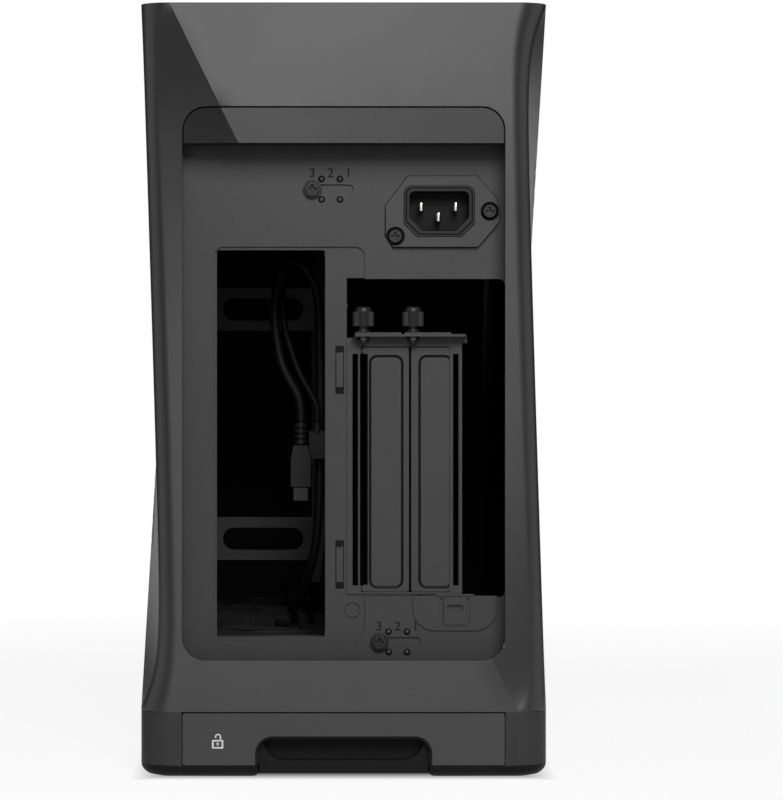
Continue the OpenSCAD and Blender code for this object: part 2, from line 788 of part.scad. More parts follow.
module front_frame() {
    z = [floor_top, chassis_top];
    color(steel_dark) {
        difference() {
            plate_y(front_y) rounded([-in_w, in_w], z, 2);
            for (x = bolt_x)
                rod_y(x, chassis_top - bolt_drop, 1.7, [front_y[0] - 1, front_y[1] + 1]);
            for (p = guide_at) plate_y([front_y[0] - 1, front_y[1] + 1])
                position_slot(p);
            plate_y([front_y[1] - press, front_y[1] + 1]) pressed_panels();
        }
        plate_y([front_y[0] - press, front_y[0] + tiny]) pressed_panels();
        block([4 - in_w, in_w - 4], [front_y[0] - 11, front_y[1]], [z[0], z[0] + sheet]);
    }
}

bracket_h = 7.5;
bolt_drop = 5;
// At the back the flange is bent up, and its bolts are hidden behind the trim
bolt_rise = 9;
flange_up = 14;

// Frame for fans under the top, with a flange at each end
module top_bracket() {
    z = [chassis_top - sheet, chassis_top];
    y = [panel_in, front_y[0]];
    color(steel_dark) {
        difference() {
            block([3 - in_w, in_w - 3], y, z);
            for (s = [-1, 1]) translate([0, s * fan_y, 0]) {
                plate_z([z[0] - 1, z[1] + 1]) rounded([-54, 54], [-54, 54], 20);
                for (x = [-1, 1], q = [-1, 1]) plate_z([z[0] - 1, z[1] + 1])
                    translate([x * fan_pitch / 2, q * fan_pitch / 2]) rotate(90)
                        stadium(9, 4.4);
            }
            plate_z([z[0] - 1, z[1] + 1])
                rounded([-50, 50], [y[0] + 10, -fan_y - fan / 2 - 4], 4);
            plate_z([z[0] - 1, z[1] + 1])
                rounded([-50, 50], [fan_y + fan / 2 + 4, y[1] - 10], 4);
        }
        difference() {
            block([3 - in_w, in_w - 3], [y[0], y[0] + sheet], [z[0], chassis_top + flange_up]);
            for (x = bolt_x) rod_y(x, chassis_top + bolt_rise, 1.5, [y[0] - 1, y[0] + 3]);
        }
        difference() {
            block([3 - in_w, in_w - 3], [y[1] - sheet, y[1]], [chassis_top - bracket_h, z[1]]);
            for (x = bolt_x) rod_y(x, chassis_top - bolt_drop, 1.5, [y[1] - 3, y[1] + 1]);
        }
    }
}

module bracket_screws() {
    color(dark) for (x = bolt_x) {
        screw_y(x, chassis_top + bolt_rise, panel_y, 2.9, 1.4, 1.45, 4);
        mirror([0, 1, 0]) screw_y(x, chassis_top - bolt_drop, -front_y[1], 2.9, 1.4, 1.45, 4);
    }
}

// Sockets and button in the front of the base

io_pcb_z = [port_z - 5, port_z - 3.4];

module front_io_board() {
    y = [half_d - 30, half_d - 8];
    color([0.08, 0.1, 0.09]) block([-44, 66], y, io_pcb_z);
    // Pillars that carry the board
    color(dark) for (x = [-34, 20, 62]) rod_z(x, y[0] + 4, 3, [floor_z[1], io_pcb_z[0]]);
}

module usb_a_ports() {
    y = [half_d - 20, half_d - 0.6];
    color(bright) for (x = usb_a_x) difference() {
        block([x - 6.6, x + 6.6], y, [io_pcb_z[1], io_pcb_z[1] + 6.2]);
        block([x - 6, x + 6], [y[0] + 4, y[1] + 1], [io_pcb_z[1] + 0.6, io_pcb_z[1] + 3.6]);
        block([x - 6, x + 6], [y[0] + 4, y[1] + 1], [io_pcb_z[1] + 5, io_pcb_z[1] + 5.6]);
    }
}

module usb_c_port() {
    y = [half_d - 16, half_d - 0.6];
    mid = port_z;
    color(bright) {
        difference() {
            plate_y(y) rounded([usb_c_x - 4.5, usb_c_x + 4.5], [mid - 1.6, mid + 1.6], 1.5);
            plate_y([y[0] + 4, y[1] + 1])
                rounded([usb_c_x - 4.1, usb_c_x + 4.1], [mid - 1.2, mid + 1.2], 1.1);
        }
        block([usb_c_x - 3.2, usb_c_x + 3.2], [y[0] + 3, y[1] - 1], [mid - 0.35, mid + 0.35]);
        block([usb_c_x - 4, usb_c_x + 4], [y[0], y[0] + 8], [io_pcb_z[1], mid - 1.5]);
    }
}

module audio_jack() {
    y = [half_d - 18, half_d - 0.6];
    color([0.1, 0.1, 0.1]) difference() {
        union() {
            rod_y(audio_x, port_z, 3.3, y);
            block([audio_x - 4, audio_x + 4], [y[0], y[1] - 3.4], [io_pcb_z[1], port_z + 3.2]);
        }
        rod_y(audio_x, port_z, 1.8, [y[0] + 3, y[1] + 1]);
    }
}

button_travel = 1.5;

module power_switch() {
    color([0.1, 0.1, 0.1]) {
        block([button_x - 4, button_x + 4], [half_d - 20, half_d - 10],
            [io_pcb_z[1], port_z + 4]);
    }
    color(bright) rod_y(button_x, port_z, 1.6, [half_d - 10.5, half_d - 9]);
}

module power_button() {
    color(dark) {
        rod_y(button_x, port_z, 5, [half_d - 6, half_d - 0.3]);
        rod_y(button_x, port_z, 6.2, [half_d - 6.5, half_d - base_wall - 0.3]);
        rod_y(button_x, port_z, 1.4, [half_d - 9 + button_travel + 0.1, half_d - 6]);
    }
}

// Cables from the socket board, up through the floor and over to the board side

usb_r = 2;
panel_r = 1.5;
usb_route = [[-30, half_d - 33, 12], [-30, half_d - 40, 14], [-30, grommet_y, 22],
    [-30, grommet_y - 1, 32], [-29, grommet_y - 6, 48], [-27, 120, 57], [-25, 60, 58],
    [-23, 0, 58], [-21, -40, 60], [-17, -58, 70], [-12, -66, 90], [-10.5, -68, 120],
    [-10.5, -68, 185], [-13, -69, 202], [-20, -71, 211], [-27, -74, 206], [-30, -78, 190],
    [-27, -82, 168], [-20, -83, 154], [-18.5, -83, 147], [-18.5, -83, 142]];
panel_route = [[-20, half_d - 33, 12], [-20, half_d - 40, 14], [-20, grommet_y, 22],
    [-20, grommet_y - 1, 32], [-20, grommet_y - 6, 48], [-19, 120, 57], [-18, 60, 58],
    [-16, 0, 58], [-13, -40, 59], [-9, -52, 72], [-6.5, -56, 95], [-5.5, -56, 120],
    [-5.5, -56, 190], [-9, -57, 208], [-18, -60, 214], [-26, -65, 202], [-26, -72, 185],
    [-20, -76, 165], [-13, -77, 152], [-11.5, -77, 147], [-11.5, -77, 142]];

function spline(p, i, u) = let (
    a = p[max(i - 1, 0)], b = p[i], c = p[i + 1], d = p[min(i + 2, len(p) - 1)])
    0.5 * (2 * b + u * (c - a) + u * u * (2 * a - 5 * b + 4 * c - d)
        + u * u * u * (3 * b - a - 3 * c + d));

function smooth_path(p, per) = concat(
    [for (i = [0:len(p) - 2], k = [0:per - 1]) spline(p, i, k / per)], [p[len(p) - 1]]);

// Tube swept along a list of points
module cord(path, r) {
    sides = 8;
    n = len(path);
    points = [for (i = [0:n - 1]) let (
        d = unit(path[min(i + 1, n - 1)] - path[max(i - 1, 0)]),
        u = unit(cross(d, [1, 0.2, 0])),
        v = cross(d, u))
        each [for (k = [0:sides - 1]) path[i] + r * (cos(k * 360 / sides) * u
            + sin(k * 360 / sides) * v)]];
    last = (n - 1) * sides;
    polyhedron(points, concat(walls(n, sides, 0, false),
        [[for (k = [0:sides - 1]) k], [for (k = [sides - 1:-1:0]) last + k]]), convexity = 10);
}

module usb_cable() {
    color([0.06, 0.06, 0.06]) cord(smooth_path(usb_route, 2), usb_r);
}

module panel_cable() {
    color([0.06, 0.06, 0.06]) cord(smooth_path(panel_route, 2), panel_r);
}

// Plug hanging on the end of the cable: ribbed neck, wedge body and metal tip
module usb_plug() {
    end = usb_route[len(usb_route) - 1];
    color([0.08, 0.08, 0.08]) translate(end) {
        for (i = [0:3]) rod_z(0, 0, 3, [-2.4 * i - 2.4, -2.4 * i - 0.9]);
        rod_z(0, 0, 2.3, [-11, -0.1]);
        plate_y([-3.5, 3.5])
            polygon([[-3.2, -10], [3.2, -10], [4.4, -16], [4.4, -28], [-4.4, -28], [-4.4, -16]]);
    }
    color(bright) translate(end) block([-3.2, 3.2], [-2.2, 2.2], [-34, -27]);
}

module panel_plug() {
    end = panel_route[len(panel_route) - 1];
    color([0.08, 0.08, 0.08]) translate(end) {
        rod_z(0, 0, 2, [-5, -0.1]);
        block([-3.6, 3.6], [-1.6, 1.6], [-16, -4]);
    }
}

module cable_grommet() {
    z = [base_h - 1.5, floor_top + 1.5];
    color([0.05, 0.05, 0.05]) difference() {
        union() {
            plate_z(z) rounded([-35.8, -14.2], [grommet_y - 4.8, grommet_y + 4.8], 4.7);
            for (zz = [[z[0], base_h], [floor_top, z[1]]]) plate_z(zz)
                rounded([-37.5, -12.5], [grommet_y - 6.5, grommet_y + 6.5], 6.3);
        }
        plate_z([z[0] - 1, z[1] + 1])
            rounded([-33.5, -16.5], [grommet_y - 3, grommet_y + 3], 2.9);
    }
}

// Spine: the plate in the middle, with its bent-over rear plate

spine_y = [plate_in, front_y[0] - 6];
spine_z = [floor_top + 28, chassis_top - bracket_h - 1];
board_at = [for (y = [0, 1], z = [-1, 1])
    [plate_in + 7 + board_y * y, (io_z[0] + io_z[1]) / 2 + z * board_z / 2]];
guide_at = [[-8, spine_z[0] + 10], [-8, spine_z[1] - 10]];
tie_x = [-3.3, 0.1];
tie_z = [[io_z[0] + 19.7, io_z[0] + 39.4], [io_z[0] + 99.8, io_z[0] + 119.5]];

module tongue(x, z) {
    translate([x[0], z[0]]) square([x[1] - x[0], z[1] - z[0]]);
}

module spine_plate() {
    y = [plate_y0, plate_in];
    left = window_x[0] - travel - 0.8;
    color(steel_dark) {
        // Plate in the middle of the case
        plate_x([-spine_t, 0]) difference() {
            rounded([plate_in - sheet, spine_y[1]], spine_z, 3);
            rounded([-120, -70], [io_z[0] + 44, io_z[1] - 20], 6);
            rounded([12, 36], [io_z[0] + 12, io_z[0] + 60], 6);
            rounded([12, 36], [io_z[1] - 60, io_z[1] - 12], 6);
            rounded([75, 135], [io_z[0] + 20, io_z[1] - 20], 10);
            for (p = board_at) translate(p) circle(r = 1.6);
            for (p = supply_bolts) translate(p) circle(r = 1.5);
        }
        // Rear plate that slides behind the rear panel
        difference() {
            plate_y(y) difference() {
                union() {
                    rounded([left, slot_x[0] + 0.1], [window_z[0] - 3, window_z[1] + 3], 2);
                    // Strip over the slot opening, and tongues that fill the screws' slots
                    rounded([left, window_x[1] + 1.3], [slot_z[1] + 0.4, window_z[1] + 1.5], 2);
                    tongue([top_screw[0] - 7.2, top_screw[0] + travel + 2.15],
                        [window_z[1], spine_z[1]]);
                    tongue([top_screw[0] - 7.2, low_screw[0] + travel + 3.3],
                        [low_screw[1] - 6, slot_z[0] - 2]);
                    // Ledge behind the foot of the card frame
                    tongue([slot_x[0], card_x[1]], [slot_z[0] - 3, cover_z[0] - 0.3]);
                }
                rounded(io_x, io_z, 0.8);
            }
            for (p = [top_screw, low_screw])
                rod_y(p[0], p[1], position_d / 2, [y[0] - 1, y[1] + 1]);
            for (z = tie_z) block(tie_x, [y[0] - 1, y[1] + 1], z);
            rod_y(rivet_at[0], rivet_at[1], rivet_r + 0.3, [y[0] - 1, y[1] + 1]);
        }
        // Bridges of the two cable-tie loops
        for (z = tie_z) difference() {
            block([tie_x[0] + 0.3, tie_x[1] - 0.3], [y[0] - 0.1, y[0] + 3], z);
            block([tie_x[0] - 1, tie_x[1] + 1], [y[0] + 1, y[0] + 5],
                [z[0] - 1, z[1] + 1]);
            for (e = [[z[0] - 1, z[0] + 2.8], [z[1] - 2.8, z[1] + 1]])
                block([tie_x[0] - 1, tie_x[1] + 1], [y[0] - 1, y[0] + 0.55], e);
        }
        // Front flange that slides on the front frame
        difference() {
            block([-16, 0], [spine_y[1] - sheet, spine_y[1]], spine_z);
            for (p = guide_at) rod_y(p[0], p[1], position_d / 2,
                [spine_y[1] - 3, spine_y[1] + 1]);
        }
    }
}

rivet_at = [3.6, slot_z[0] - 5.6];
rivet_r = 2.9;

// Flush head in the rear plate, held by a washer on the inside
module spine_rivet() {
    color(steel_dark) {
        rod_y(rivet_at[0], rivet_at[1], rivet_r, [plate_y0, plate_in]);
        rod_y(rivet_at[0], rivet_at[1], rivet_r + 0.6, [plate_in, plate_in + 0.7]);
    }
}

module standoffs() {
    color([0.72, 0.6, 0.32]) for (p = board_at) difference() {
        union() {
            translate([-spine_t, p[0], p[1]]) rotate([0, -90, 0])
                cylinder(r = 2.9, h = standoff_h, $fn = 6);
            rod_x(p[0], p[1], 1.6, [-spine_t - 0.5, 0]);
        }
        rod_x(p[0], p[1], 1.25, [-spine_t - standoff_h - 1, -spine_t - 1]);
    }
}

// Flanged screws that clamp the spine to the rear panel in one of its positions
module position_screws() {
    color(dark) for (p = [top_screw, low_screw]) {
        y = panel_y - slide_gap;
        // Narrow collar that passes between the bumps, then the wide head
        rod_y(p[0], p[1], 2.6, [y - 0.8, y]);
        rod_y(p[0], p[1], position_d, [y - 1.6, y - 0.7]);
        rod_y(p[0], p[1], position_d * 0.83, [y - 2.8, y - 1.5]);
        rod_y(p[0], p[1], position_d / 2, [y - 0.5, plate_in + 4]);
        rod_y(p[0], p[1], 3.2, [plate_in, plate_in + 2.4]);
    }
}

// Screws with spacers that hold the spine to the front frame
module guide_screws() {
    color(dark) for (p = guide_at) {
        rod_y(p[0], p[1], 3.4, [front_y[1] + slide_gap, front_y[1] + 1.4]);
        rod_y(p[0], p[1], position_d / 2, [spine_y[1] - 3, front_y[1] + 1]);
        rod_y(p[0], p[1], 3.2, [spine_y[1], front_y[0] - 1 - slide_gap]);
    }
}

// Card frame with its shelf, slot covers and thumbscrews

card_x = [slot_x[0] + 0.1, 48.6];
card_z = [slot_z[0] + 1.2, slot_z[0] + frame_h];
card_y = [plate_y0 - sheet, plate_y0];
cover_z = [slot_z[0] + 2.2, card_z[1] - 5.15];
cover_y = [card_y[0] + 0.1, card_y[1]];
shelf_z = [card_z[1] - 1, card_z[1]];
thumb_y = panel_y - 4.8;
first_slot = 17.1;
thumb_x = [first_slot - 9.05, first_slot - 9.05 + slot_pitch];
slit_z = [cover_z[0] + 2.5, cover_z[1] - 2.95];
rib_x = card_x[1] - 5;
cover_t = 0.7;
thumb_r = 1.6;
// How far the covers' tabs reach to each side of their screws
tab_reach = [3.3, 15.5];
boss = [2.5, 1.6];

module card_frame() {
    flange_z = [card_z[0] + 4, card_z[1] - 4];
    color(steel_dark) difference() {
        union() {
            plate_y(card_y) {
                rounded(card_x, [card_z[0], card_z[1] - 1.5], 0.6);
                tongue([card_x[0] + 2.6, card_x[1] - 1], [card_z[1] - 4, card_z[1]]);
            }
            // Shelf that the covers hang on, with round ends
            plate_z(shelf_z) rounded([card_x[0] + 2.6, card_x[1] + 2],
                [panel_y - shelf_d, card_y[1]], 1.2);
            // Lug at the root of the shelf and the flange on the spine
            block([card_x[1] - 1.2, card_x[1] + 2], card_y, [card_z[1] - 3.7, card_z[1]]);
            block([0, sheet], [plate_in, plate_in + 16], flange_z);
            block([0, card_x[0] + sheet], [plate_in, plate_in + sheet], flange_z);
            block([card_x[0], card_x[0] + sheet], [card_y[0], plate_in + sheet], flange_z);
        }
        // Window of the covers, its side channel and the slits beside the ribs
        block([first_slot - 9.9, rib_x], [card_y[0] - 1, card_y[1] + 1],
            [cover_z[0] - 0.2, cover_z[1] + 0.2]);
        block([first_slot - 10.4, first_slot], [card_y[0] - 1, card_y[1] + 1], slit_z);
        block([first_slot - 13.5, first_slot - 11.2], [card_y[0] - 1, card_y[1] + 1], slit_z);
        block([rib_x + 1.3, rib_x + 3.6], [card_y[0] - 1, card_y[1] + 1], slit_z);
        for (x = thumb_x) rod_z(x, thumb_y, thumb_r + 0.05, [shelf_z[0] - 1, shelf_z[1] + 1]);
    }
    // Threaded bosses under the shelf
    color(steel_dark) for (x = thumb_x) difference() {
        rod_z(x, thumb_y, boss[0], [shelf_z[0] - boss[1], shelf_z[0] + tiny]);
        rod_z(x, thumb_y, thumb_r + 0.05, [shelf_z[0] - boss[1] - 1, shelf_z[1]]);
    }
}

// Blank cover: a plate behind the frame, pressed out into the window, with a sunk panel
// and a tab bent over the shelf. It has its middle at c and its screw at x_screw.
module slot_cover(c, x_body, x_end, x_back, x_screw) {
    sunk = 0.6;
    notch_r = thumb_r + 0.2;
    x_head = c - 9.7;
    plate = [plate_y0, plate_in];
    tab = [x_screw - tab_reach[0], x_screw + tab_reach[1]];
    tab_z = [shelf_z[1], shelf_z[1] + cover_t];
    color(steel_dark) difference() {
        union() {
            plate_y([cover_y[0], plate[0] + tiny]) {
                rounded([x_head, x_end], [cover_z[1] - 3, cover_z[1]], 1.4);
                rounded([x_head, x_end], [cover_z[0], cover_z[0] + 2.8], 1.2);
                translate([x_body, cover_z[0] + 1.4])
                    square([x_end - x_body, cover_z[1] - cover_z[0] - 2.9]);
            }
            block([x_body, x_back], plate, [cover_z[0], shelf_z[0] - 1]);
            block([x_body, tab[1]], plate, [shelf_z[0] - 2, tab_z[1]]);
            block(tab, [panel_y - shelf_d + 0.6, plate[1]], tab_z);
        }
        plate_y([cover_y[0] - 1, cover_y[0] + sunk])
            rounded([c - 6.8, c + 7.5], [slit_z[0] - 1.3, slit_z[1] - 0.4], 2.8);
        // Notch for the thumbscrew, open to the left
        rod_z(x_screw, thumb_y, notch_r, [tab_z[0] - 1, tab_z[1] + 1]);
        block([tab[0] - 1, x_screw], [thumb_y - notch_r, thumb_y + notch_r],
            [tab_z[0] - 1, tab_z[1] + 1]);
    }
}

// The first cover leaves a slit open on its left; the second closes up to its neighbour
module slot_cover_left() {
    slot_cover(first_slot, first_slot - 7.2, first_slot + 9.7, first_slot + 9.7, thumb_x[0]);
}

module slot_cover_right() {
    c = first_slot + slot_pitch;
    slot_cover(c, c - 9.7, rib_x - 0.2, rib_x + 1.2, thumb_x[1]);
}

module thumbscrew(x) {
    z = shelf_z[1] + cover_t;
    color(dark) translate([x, thumb_y, 0]) difference() {
        union() {
            // Collar on the tab, neck, knurled body and its domed cap
            rod_z(0, 0, 2.6, [z + 0.1, z + 1]);
            rod_z(0, 0, 1.9, [z + 0.9, z + 2.5]);
            rod_z(0, 0, 4.37, [z + 2.4, z + 8.5]);
            translate([0, 0, z + 8.4]) cylinder(r1 = 4, r2 = 2.65, h = 2.05);
            rod_z(0, 0, thumb_r, [z - 4.8, z + 1]);
        }
        block([-0.5, 0.5], [-2, 2], [z + 9, z + 11]);
        block([-2, 2], [-0.5, 0.5], [z + 9, z + 11]);
    }
}

module thumbscrew_left() {
    thumbscrew(thumb_x[0]);
}

module thumbscrew_right() {
    thumbscrew(thumb_x[1]);
}

// Riser for the graphics card, on the right of the spine

riser_y = [-110, -14];
riser_z = card_z[0] - 2;

module riser_board() {
    color([0.07, 0.1, 0.08]) block([spine_t + 1, spine_t + 2.6], riser_y,
        [riser_z - 14, riser_z + 26]);
    // Spacers to the spine
    color(bright) for (y = [riser_y[0] + 6, riser_y[1] - 6])
        rod_x(y, riser_z + 18, 2.5, [0, spine_t + 1]);
}

module riser_socket() {
    x = [first_slot - 4.2, first_slot + 3.4];
    y = [riser_y[0] + 4, riser_y[0] + 93];
    z = [riser_z - 12, riser_z - 1];
    color([0.06, 0.06, 0.06]) difference() {
        union() {
            block(x, y, z);
            block([spine_t + 2.6, x[0] + 1], [y[0] + 3, y[1] - 3], [z[0], z[1] - 5]);
        }
        block([first_slot - 1.3, first_slot + 0.5], [y[0] + 2, y[0] + 13], [z[0] + 3, z[1] + 1]);
        block([first_slot - 1.3, first_slot + 0.5], [y[0] + 15, y[1] - 2], [z[0] + 3, z[1] + 1]);
    }
}

// Frame for the power supply, in front of the main board

supply_y = [40, 41.5];

supply_x = [-66, -9];
supply_z = [io_z[0] + 19.2, io_z[0] + 146];
supply_arm = 16;
supply_bolts = [[supply_y[0] + 21, supply_z[0] + supply_arm / 2],
    [supply_y[0] + 21, supply_z[1] - supply_arm / 2]];

module supply_bracket() {
    x = supply_x;
    z = supply_z;
    mid = (x[0] + x[1]) / 2;
    color(steel_dark) {
        difference() {
            plate_y(supply_y) difference() {
                rounded(x, z, 3);
                rounded([x[0] + 3, x[1] - 3], [z[0] + 20, z[1] - 20], 2);
                translate([mid, z[0] + 9.9]) rotate(90) stadium(37.5, 10.3);
                translate([mid, z[1] - 9.9]) rotate(90) stadium(37.5, 10.3);
            }
            for (i = [-1, 1], j = [-1, 1]) rod_y(mid + i * 25.75,
                (z[0] + z[1]) / 2 + j * 56.5, 1.75, [supply_y[0] - 1, supply_y[1] + 1]);
        }
        // Arms to the spine at the bottom and top
        for (zz = [[z[0], z[0] + supply_arm], [z[1] - supply_arm, z[1]]])
            block([x[1] - 1, -spine_t], supply_y, zz);
        difference() {
            for (zz = [[z[0], z[0] + supply_arm], [z[1] - supply_arm, z[1]]])
                block([-spine_t - sheet, -spine_t], [supply_y[0], supply_y[0] + 26], zz);
            for (p = supply_bolts) rod_x(p[0], p[1], 1.5, [-spine_t - sheet - 1, 1]);
        }
    }
}

module bracket_bolts() {
    color(bright) for (p = supply_bolts) {
        rod_x(p[0], p[1], 2.8, [-spine_t - sheet - 1.6, -spine_t - sheet]);
        rod_x(p[0], p[1], 1.4, [-spine_t - sheet - 0.5, 0.5]);
        rod_x(p[0], p[1], 2.6, [0, 1.8]);
    }
}

base_tray();
rubber_feet();
dust_filter();
base_latch();
floor_plate();
floor_screws();
fan_frame_rear();
fan_frame_front();
fan_rotor_rear();
fan_rotor_front();
fan_screws();
rear_panel();
anchor_plate();
inlet_housing();
inlet_blades();
inlet_screws();
front_frame();
top_bracket();
bracket_screws();
front_io_board();
usb_c_port();
usb_a_ports();
audio_jack();
power_switch();
power_button();
cable_grommet();
usb_cable();
usb_plug();
panel_cable();
panel_plug();
spine_plate();
standoffs();
spine_rivet();
position_screws();
guide_screws();
card_frame();
slot_cover_left();
slot_cover_right();
thumbscrew_left();
thumbscrew_right();
riser_board();
riser_socket();
supply_bracket();
bracket_bolts();
outer_shell();
rear_trim();
left_vent_panel();
right_vent_panel();
top_panel();
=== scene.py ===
import json
import math

import bmesh
import bpy
from mathutils import Matrix, Vector


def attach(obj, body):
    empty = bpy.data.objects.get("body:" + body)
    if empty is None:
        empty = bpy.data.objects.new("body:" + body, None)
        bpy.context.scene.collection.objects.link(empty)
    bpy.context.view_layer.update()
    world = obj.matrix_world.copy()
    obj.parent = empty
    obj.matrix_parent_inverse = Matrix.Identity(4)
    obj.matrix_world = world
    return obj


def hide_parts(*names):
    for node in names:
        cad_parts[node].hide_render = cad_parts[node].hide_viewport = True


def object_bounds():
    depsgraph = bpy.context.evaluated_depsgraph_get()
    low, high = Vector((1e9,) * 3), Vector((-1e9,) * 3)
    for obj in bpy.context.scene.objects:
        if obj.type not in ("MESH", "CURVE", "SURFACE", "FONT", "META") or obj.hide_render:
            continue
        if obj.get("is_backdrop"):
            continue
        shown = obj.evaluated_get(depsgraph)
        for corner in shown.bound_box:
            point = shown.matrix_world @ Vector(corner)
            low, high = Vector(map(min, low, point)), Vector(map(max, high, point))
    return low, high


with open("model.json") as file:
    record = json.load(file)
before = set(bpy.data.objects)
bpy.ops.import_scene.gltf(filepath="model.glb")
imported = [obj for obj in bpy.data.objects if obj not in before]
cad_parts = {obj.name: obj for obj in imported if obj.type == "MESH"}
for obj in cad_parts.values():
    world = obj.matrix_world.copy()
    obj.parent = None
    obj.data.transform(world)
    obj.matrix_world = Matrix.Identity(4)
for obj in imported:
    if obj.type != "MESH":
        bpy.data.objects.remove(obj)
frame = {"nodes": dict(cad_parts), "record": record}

nodes = frame["nodes"]
mm = 0.001
scene = bpy.context.scene
low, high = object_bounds()

# All lengths in the dictionaries are in millimetres, in the frame of the CAD model.
wide, deep, tall = (round((b - a) / mm, 2) for a, b in zip(low, high))
case = {
    "width": wide, "depth": deep, "height": tall, "baseHeight": 27.1, "wall": 2,
    "lean": 9.8, "creaseIn": 12, "cornerRadius": 12, "waistRadius": 7.5,
    "openingX": 65.5, "openingZ": (47.9, 272.1), "openingRadius": 9.5,
    "panelY": -161, "ventY": 125, "ventZ": (75.55, 265.55), "ventRadius": 14,
}
halfW = case["width"] / 2
halfD = case["depth"] / 2
bodyOf = {name: body for body, names in frame["record"]["behaviour"]["bodies"].items()
          for name in names}


# Objects and shader nodes

def addObject(name, data):
    thing = bpy.data.objects.new(name, data)
    scene.collection.objects.link(thing)
    return thing


def newPiece(name, points, faces):
    mesh = bpy.data.meshes.new(name)
    mesh.from_pydata([Vector(p) * mm for p in points], [], faces)
    mesh.update()
    return addObject(name, mesh)


def join(owner, source, target):
    if isinstance(source, bpy.types.Node):
        source = source.outputs[0]
    owner.node_tree.links.new(source, target)


def addNode(owner, kind, *sources, **values):
    # The sources, which are sockets or nodes, feed the new node's inputs in turn
    node = owner.node_tree.nodes.new("ShaderNode" + kind)
    for name, value in values.items():
        if hasattr(node, name):
            setattr(node, name, value)
        else:
            node.inputs[name.replace("_", " ")].default_value = value
    for source, target in zip(sources, node.inputs):
        join(owner, source, target)
    return node


def newMaterial(name, color, roughness, metallic=0, specular=0.5):
    material = bpy.data.materials.new(name)
    material.use_nodes = True
    values = {"Base Color": (*color, 1), "Roughness": roughness, "Metallic": metallic,
              "Specular IOR Level": specular}
    for label, value in values.items():
        material.node_tree.nodes["Principled BSDF"].inputs[label].default_value = value
    return material


# Camera and light

look = {
    "cameraY": -1633, "cameraZ": 178, "lens": 161.4, "sensor": 36,
    "shift": (0.0598, -0.0766), "worldLight": 0.1,
    "floorSize": 20000, "floorZ": -0.2, "floorColor": 0.12, "floorGlow": 0.89,
    # The floor's glow is left out within the foot and fades in over the near span, a painted shadow
    # under the case
    "paintedShadowFoot": (62, 160), "paintedShadowFade": (0, 25), "glowFar": (120, 700),
    "flagX": 370, "flagHeight": 1000,
    "flags": {"FrontFlag": (-1250, -380), "BackFlag": (-20, 600)},
}
lamps = {
    "softBoxHigh": {"at": (200, -1500, 900), "target": (0, -183, 200),
                    "size": (600, 600), "power": 22.5},
    "softBoxTop": {"at": (0, 300, 1700), "target": (0, 0, 300),
                   "size": (1600, 1600), "power": 3},
    "softBoxCamera": {"at": (100, -2700, 500), "target": (0, -183, 160),
                      "size": (1200, 1000), "power": 2},
}


def addCamera():
    data = bpy.data.cameras.new("camera")
    data.lens = look["lens"]
    data.sensor_width = look["sensor"]
    data.shift_x, data.shift_y = look["shift"]
    data.clip_start = 0.05
    data.clip_end = 30
    camera = addObject("camera", data)
    camera.location = Vector((0, look["cameraY"], look["cameraZ"])) * mm
    camera.rotation_euler = (math.pi / 2, 0, 0)
    scene.camera = camera


def addLamp(name, at, target, size, power):
    data = bpy.data.lights.new(name, "AREA")
    data.shape = "RECTANGLE"
    data.size, data.size_y = (value * mm for value in size)
    data.energy = power
    lamp = addObject(name, data)
    lamp.location = Vector(at) * mm
    way = Vector(target) * mm - lamp.location
    lamp.rotation_euler = way.to_track_quat("-Z", "Y").to_euler()


def whiteForView(owner):
    # 1 for the rays by which the background is seen, also in metal and through glass
    path = addNode(owner, "LightPath").outputs
    seen = path["Is Camera Ray"]
    for name in ("Is Glossy Ray", "Is Transmission Ray"):
        seen = addNode(owner, "Math", seen, path[name], operation="MAXIMUM")
    return seen


def addWorld():
    world = bpy.data.worlds.new("studio")
    scene.world = world
    world.use_nodes = True
    world.node_tree.nodes.clear()
    plain = addNode(world, "Background", Color=(1, 1, 1, 1), Strength=look["worldLight"])
    white = addNode(world, "Background", Color=(1, 1, 1, 1))
    addNode(world, "OutputWorld", addNode(world, "MixShader", whiteForView(world), plain, white))


def floorGlowAndPaintedShadow(material):
    # Painted shadow: the glow is left out under the case and rises to pale round it; fully white
    # far away
    where = addNode(material, "NewGeometry").outputs["Position"]
    split = addNode(material, "SeparateXYZ", where)
    beyond = []
    for axis, half in zip("XY", look["paintedShadowFoot"]):
        size = addNode(material, "Math", split.outputs[axis], operation="ABSOLUTE")
        less = addNode(material, "Math", size, operation="SUBTRACT")
        less.inputs[1].default_value = half * mm
        beyond.append(less)
    far = addNode(material, "Math", *beyond, operation="MAXIMUM")
    glow = look["floorGlow"]
    levels = [addNode(material, "MapRange", far, From_Min=start * mm, From_Max=end * mm,
                      To_Max=rise)
              for (start, end), rise in ((look["paintedShadowFade"], glow), (look["glowFar"], 1 - glow))]
    return addNode(material, "Math", *levels)


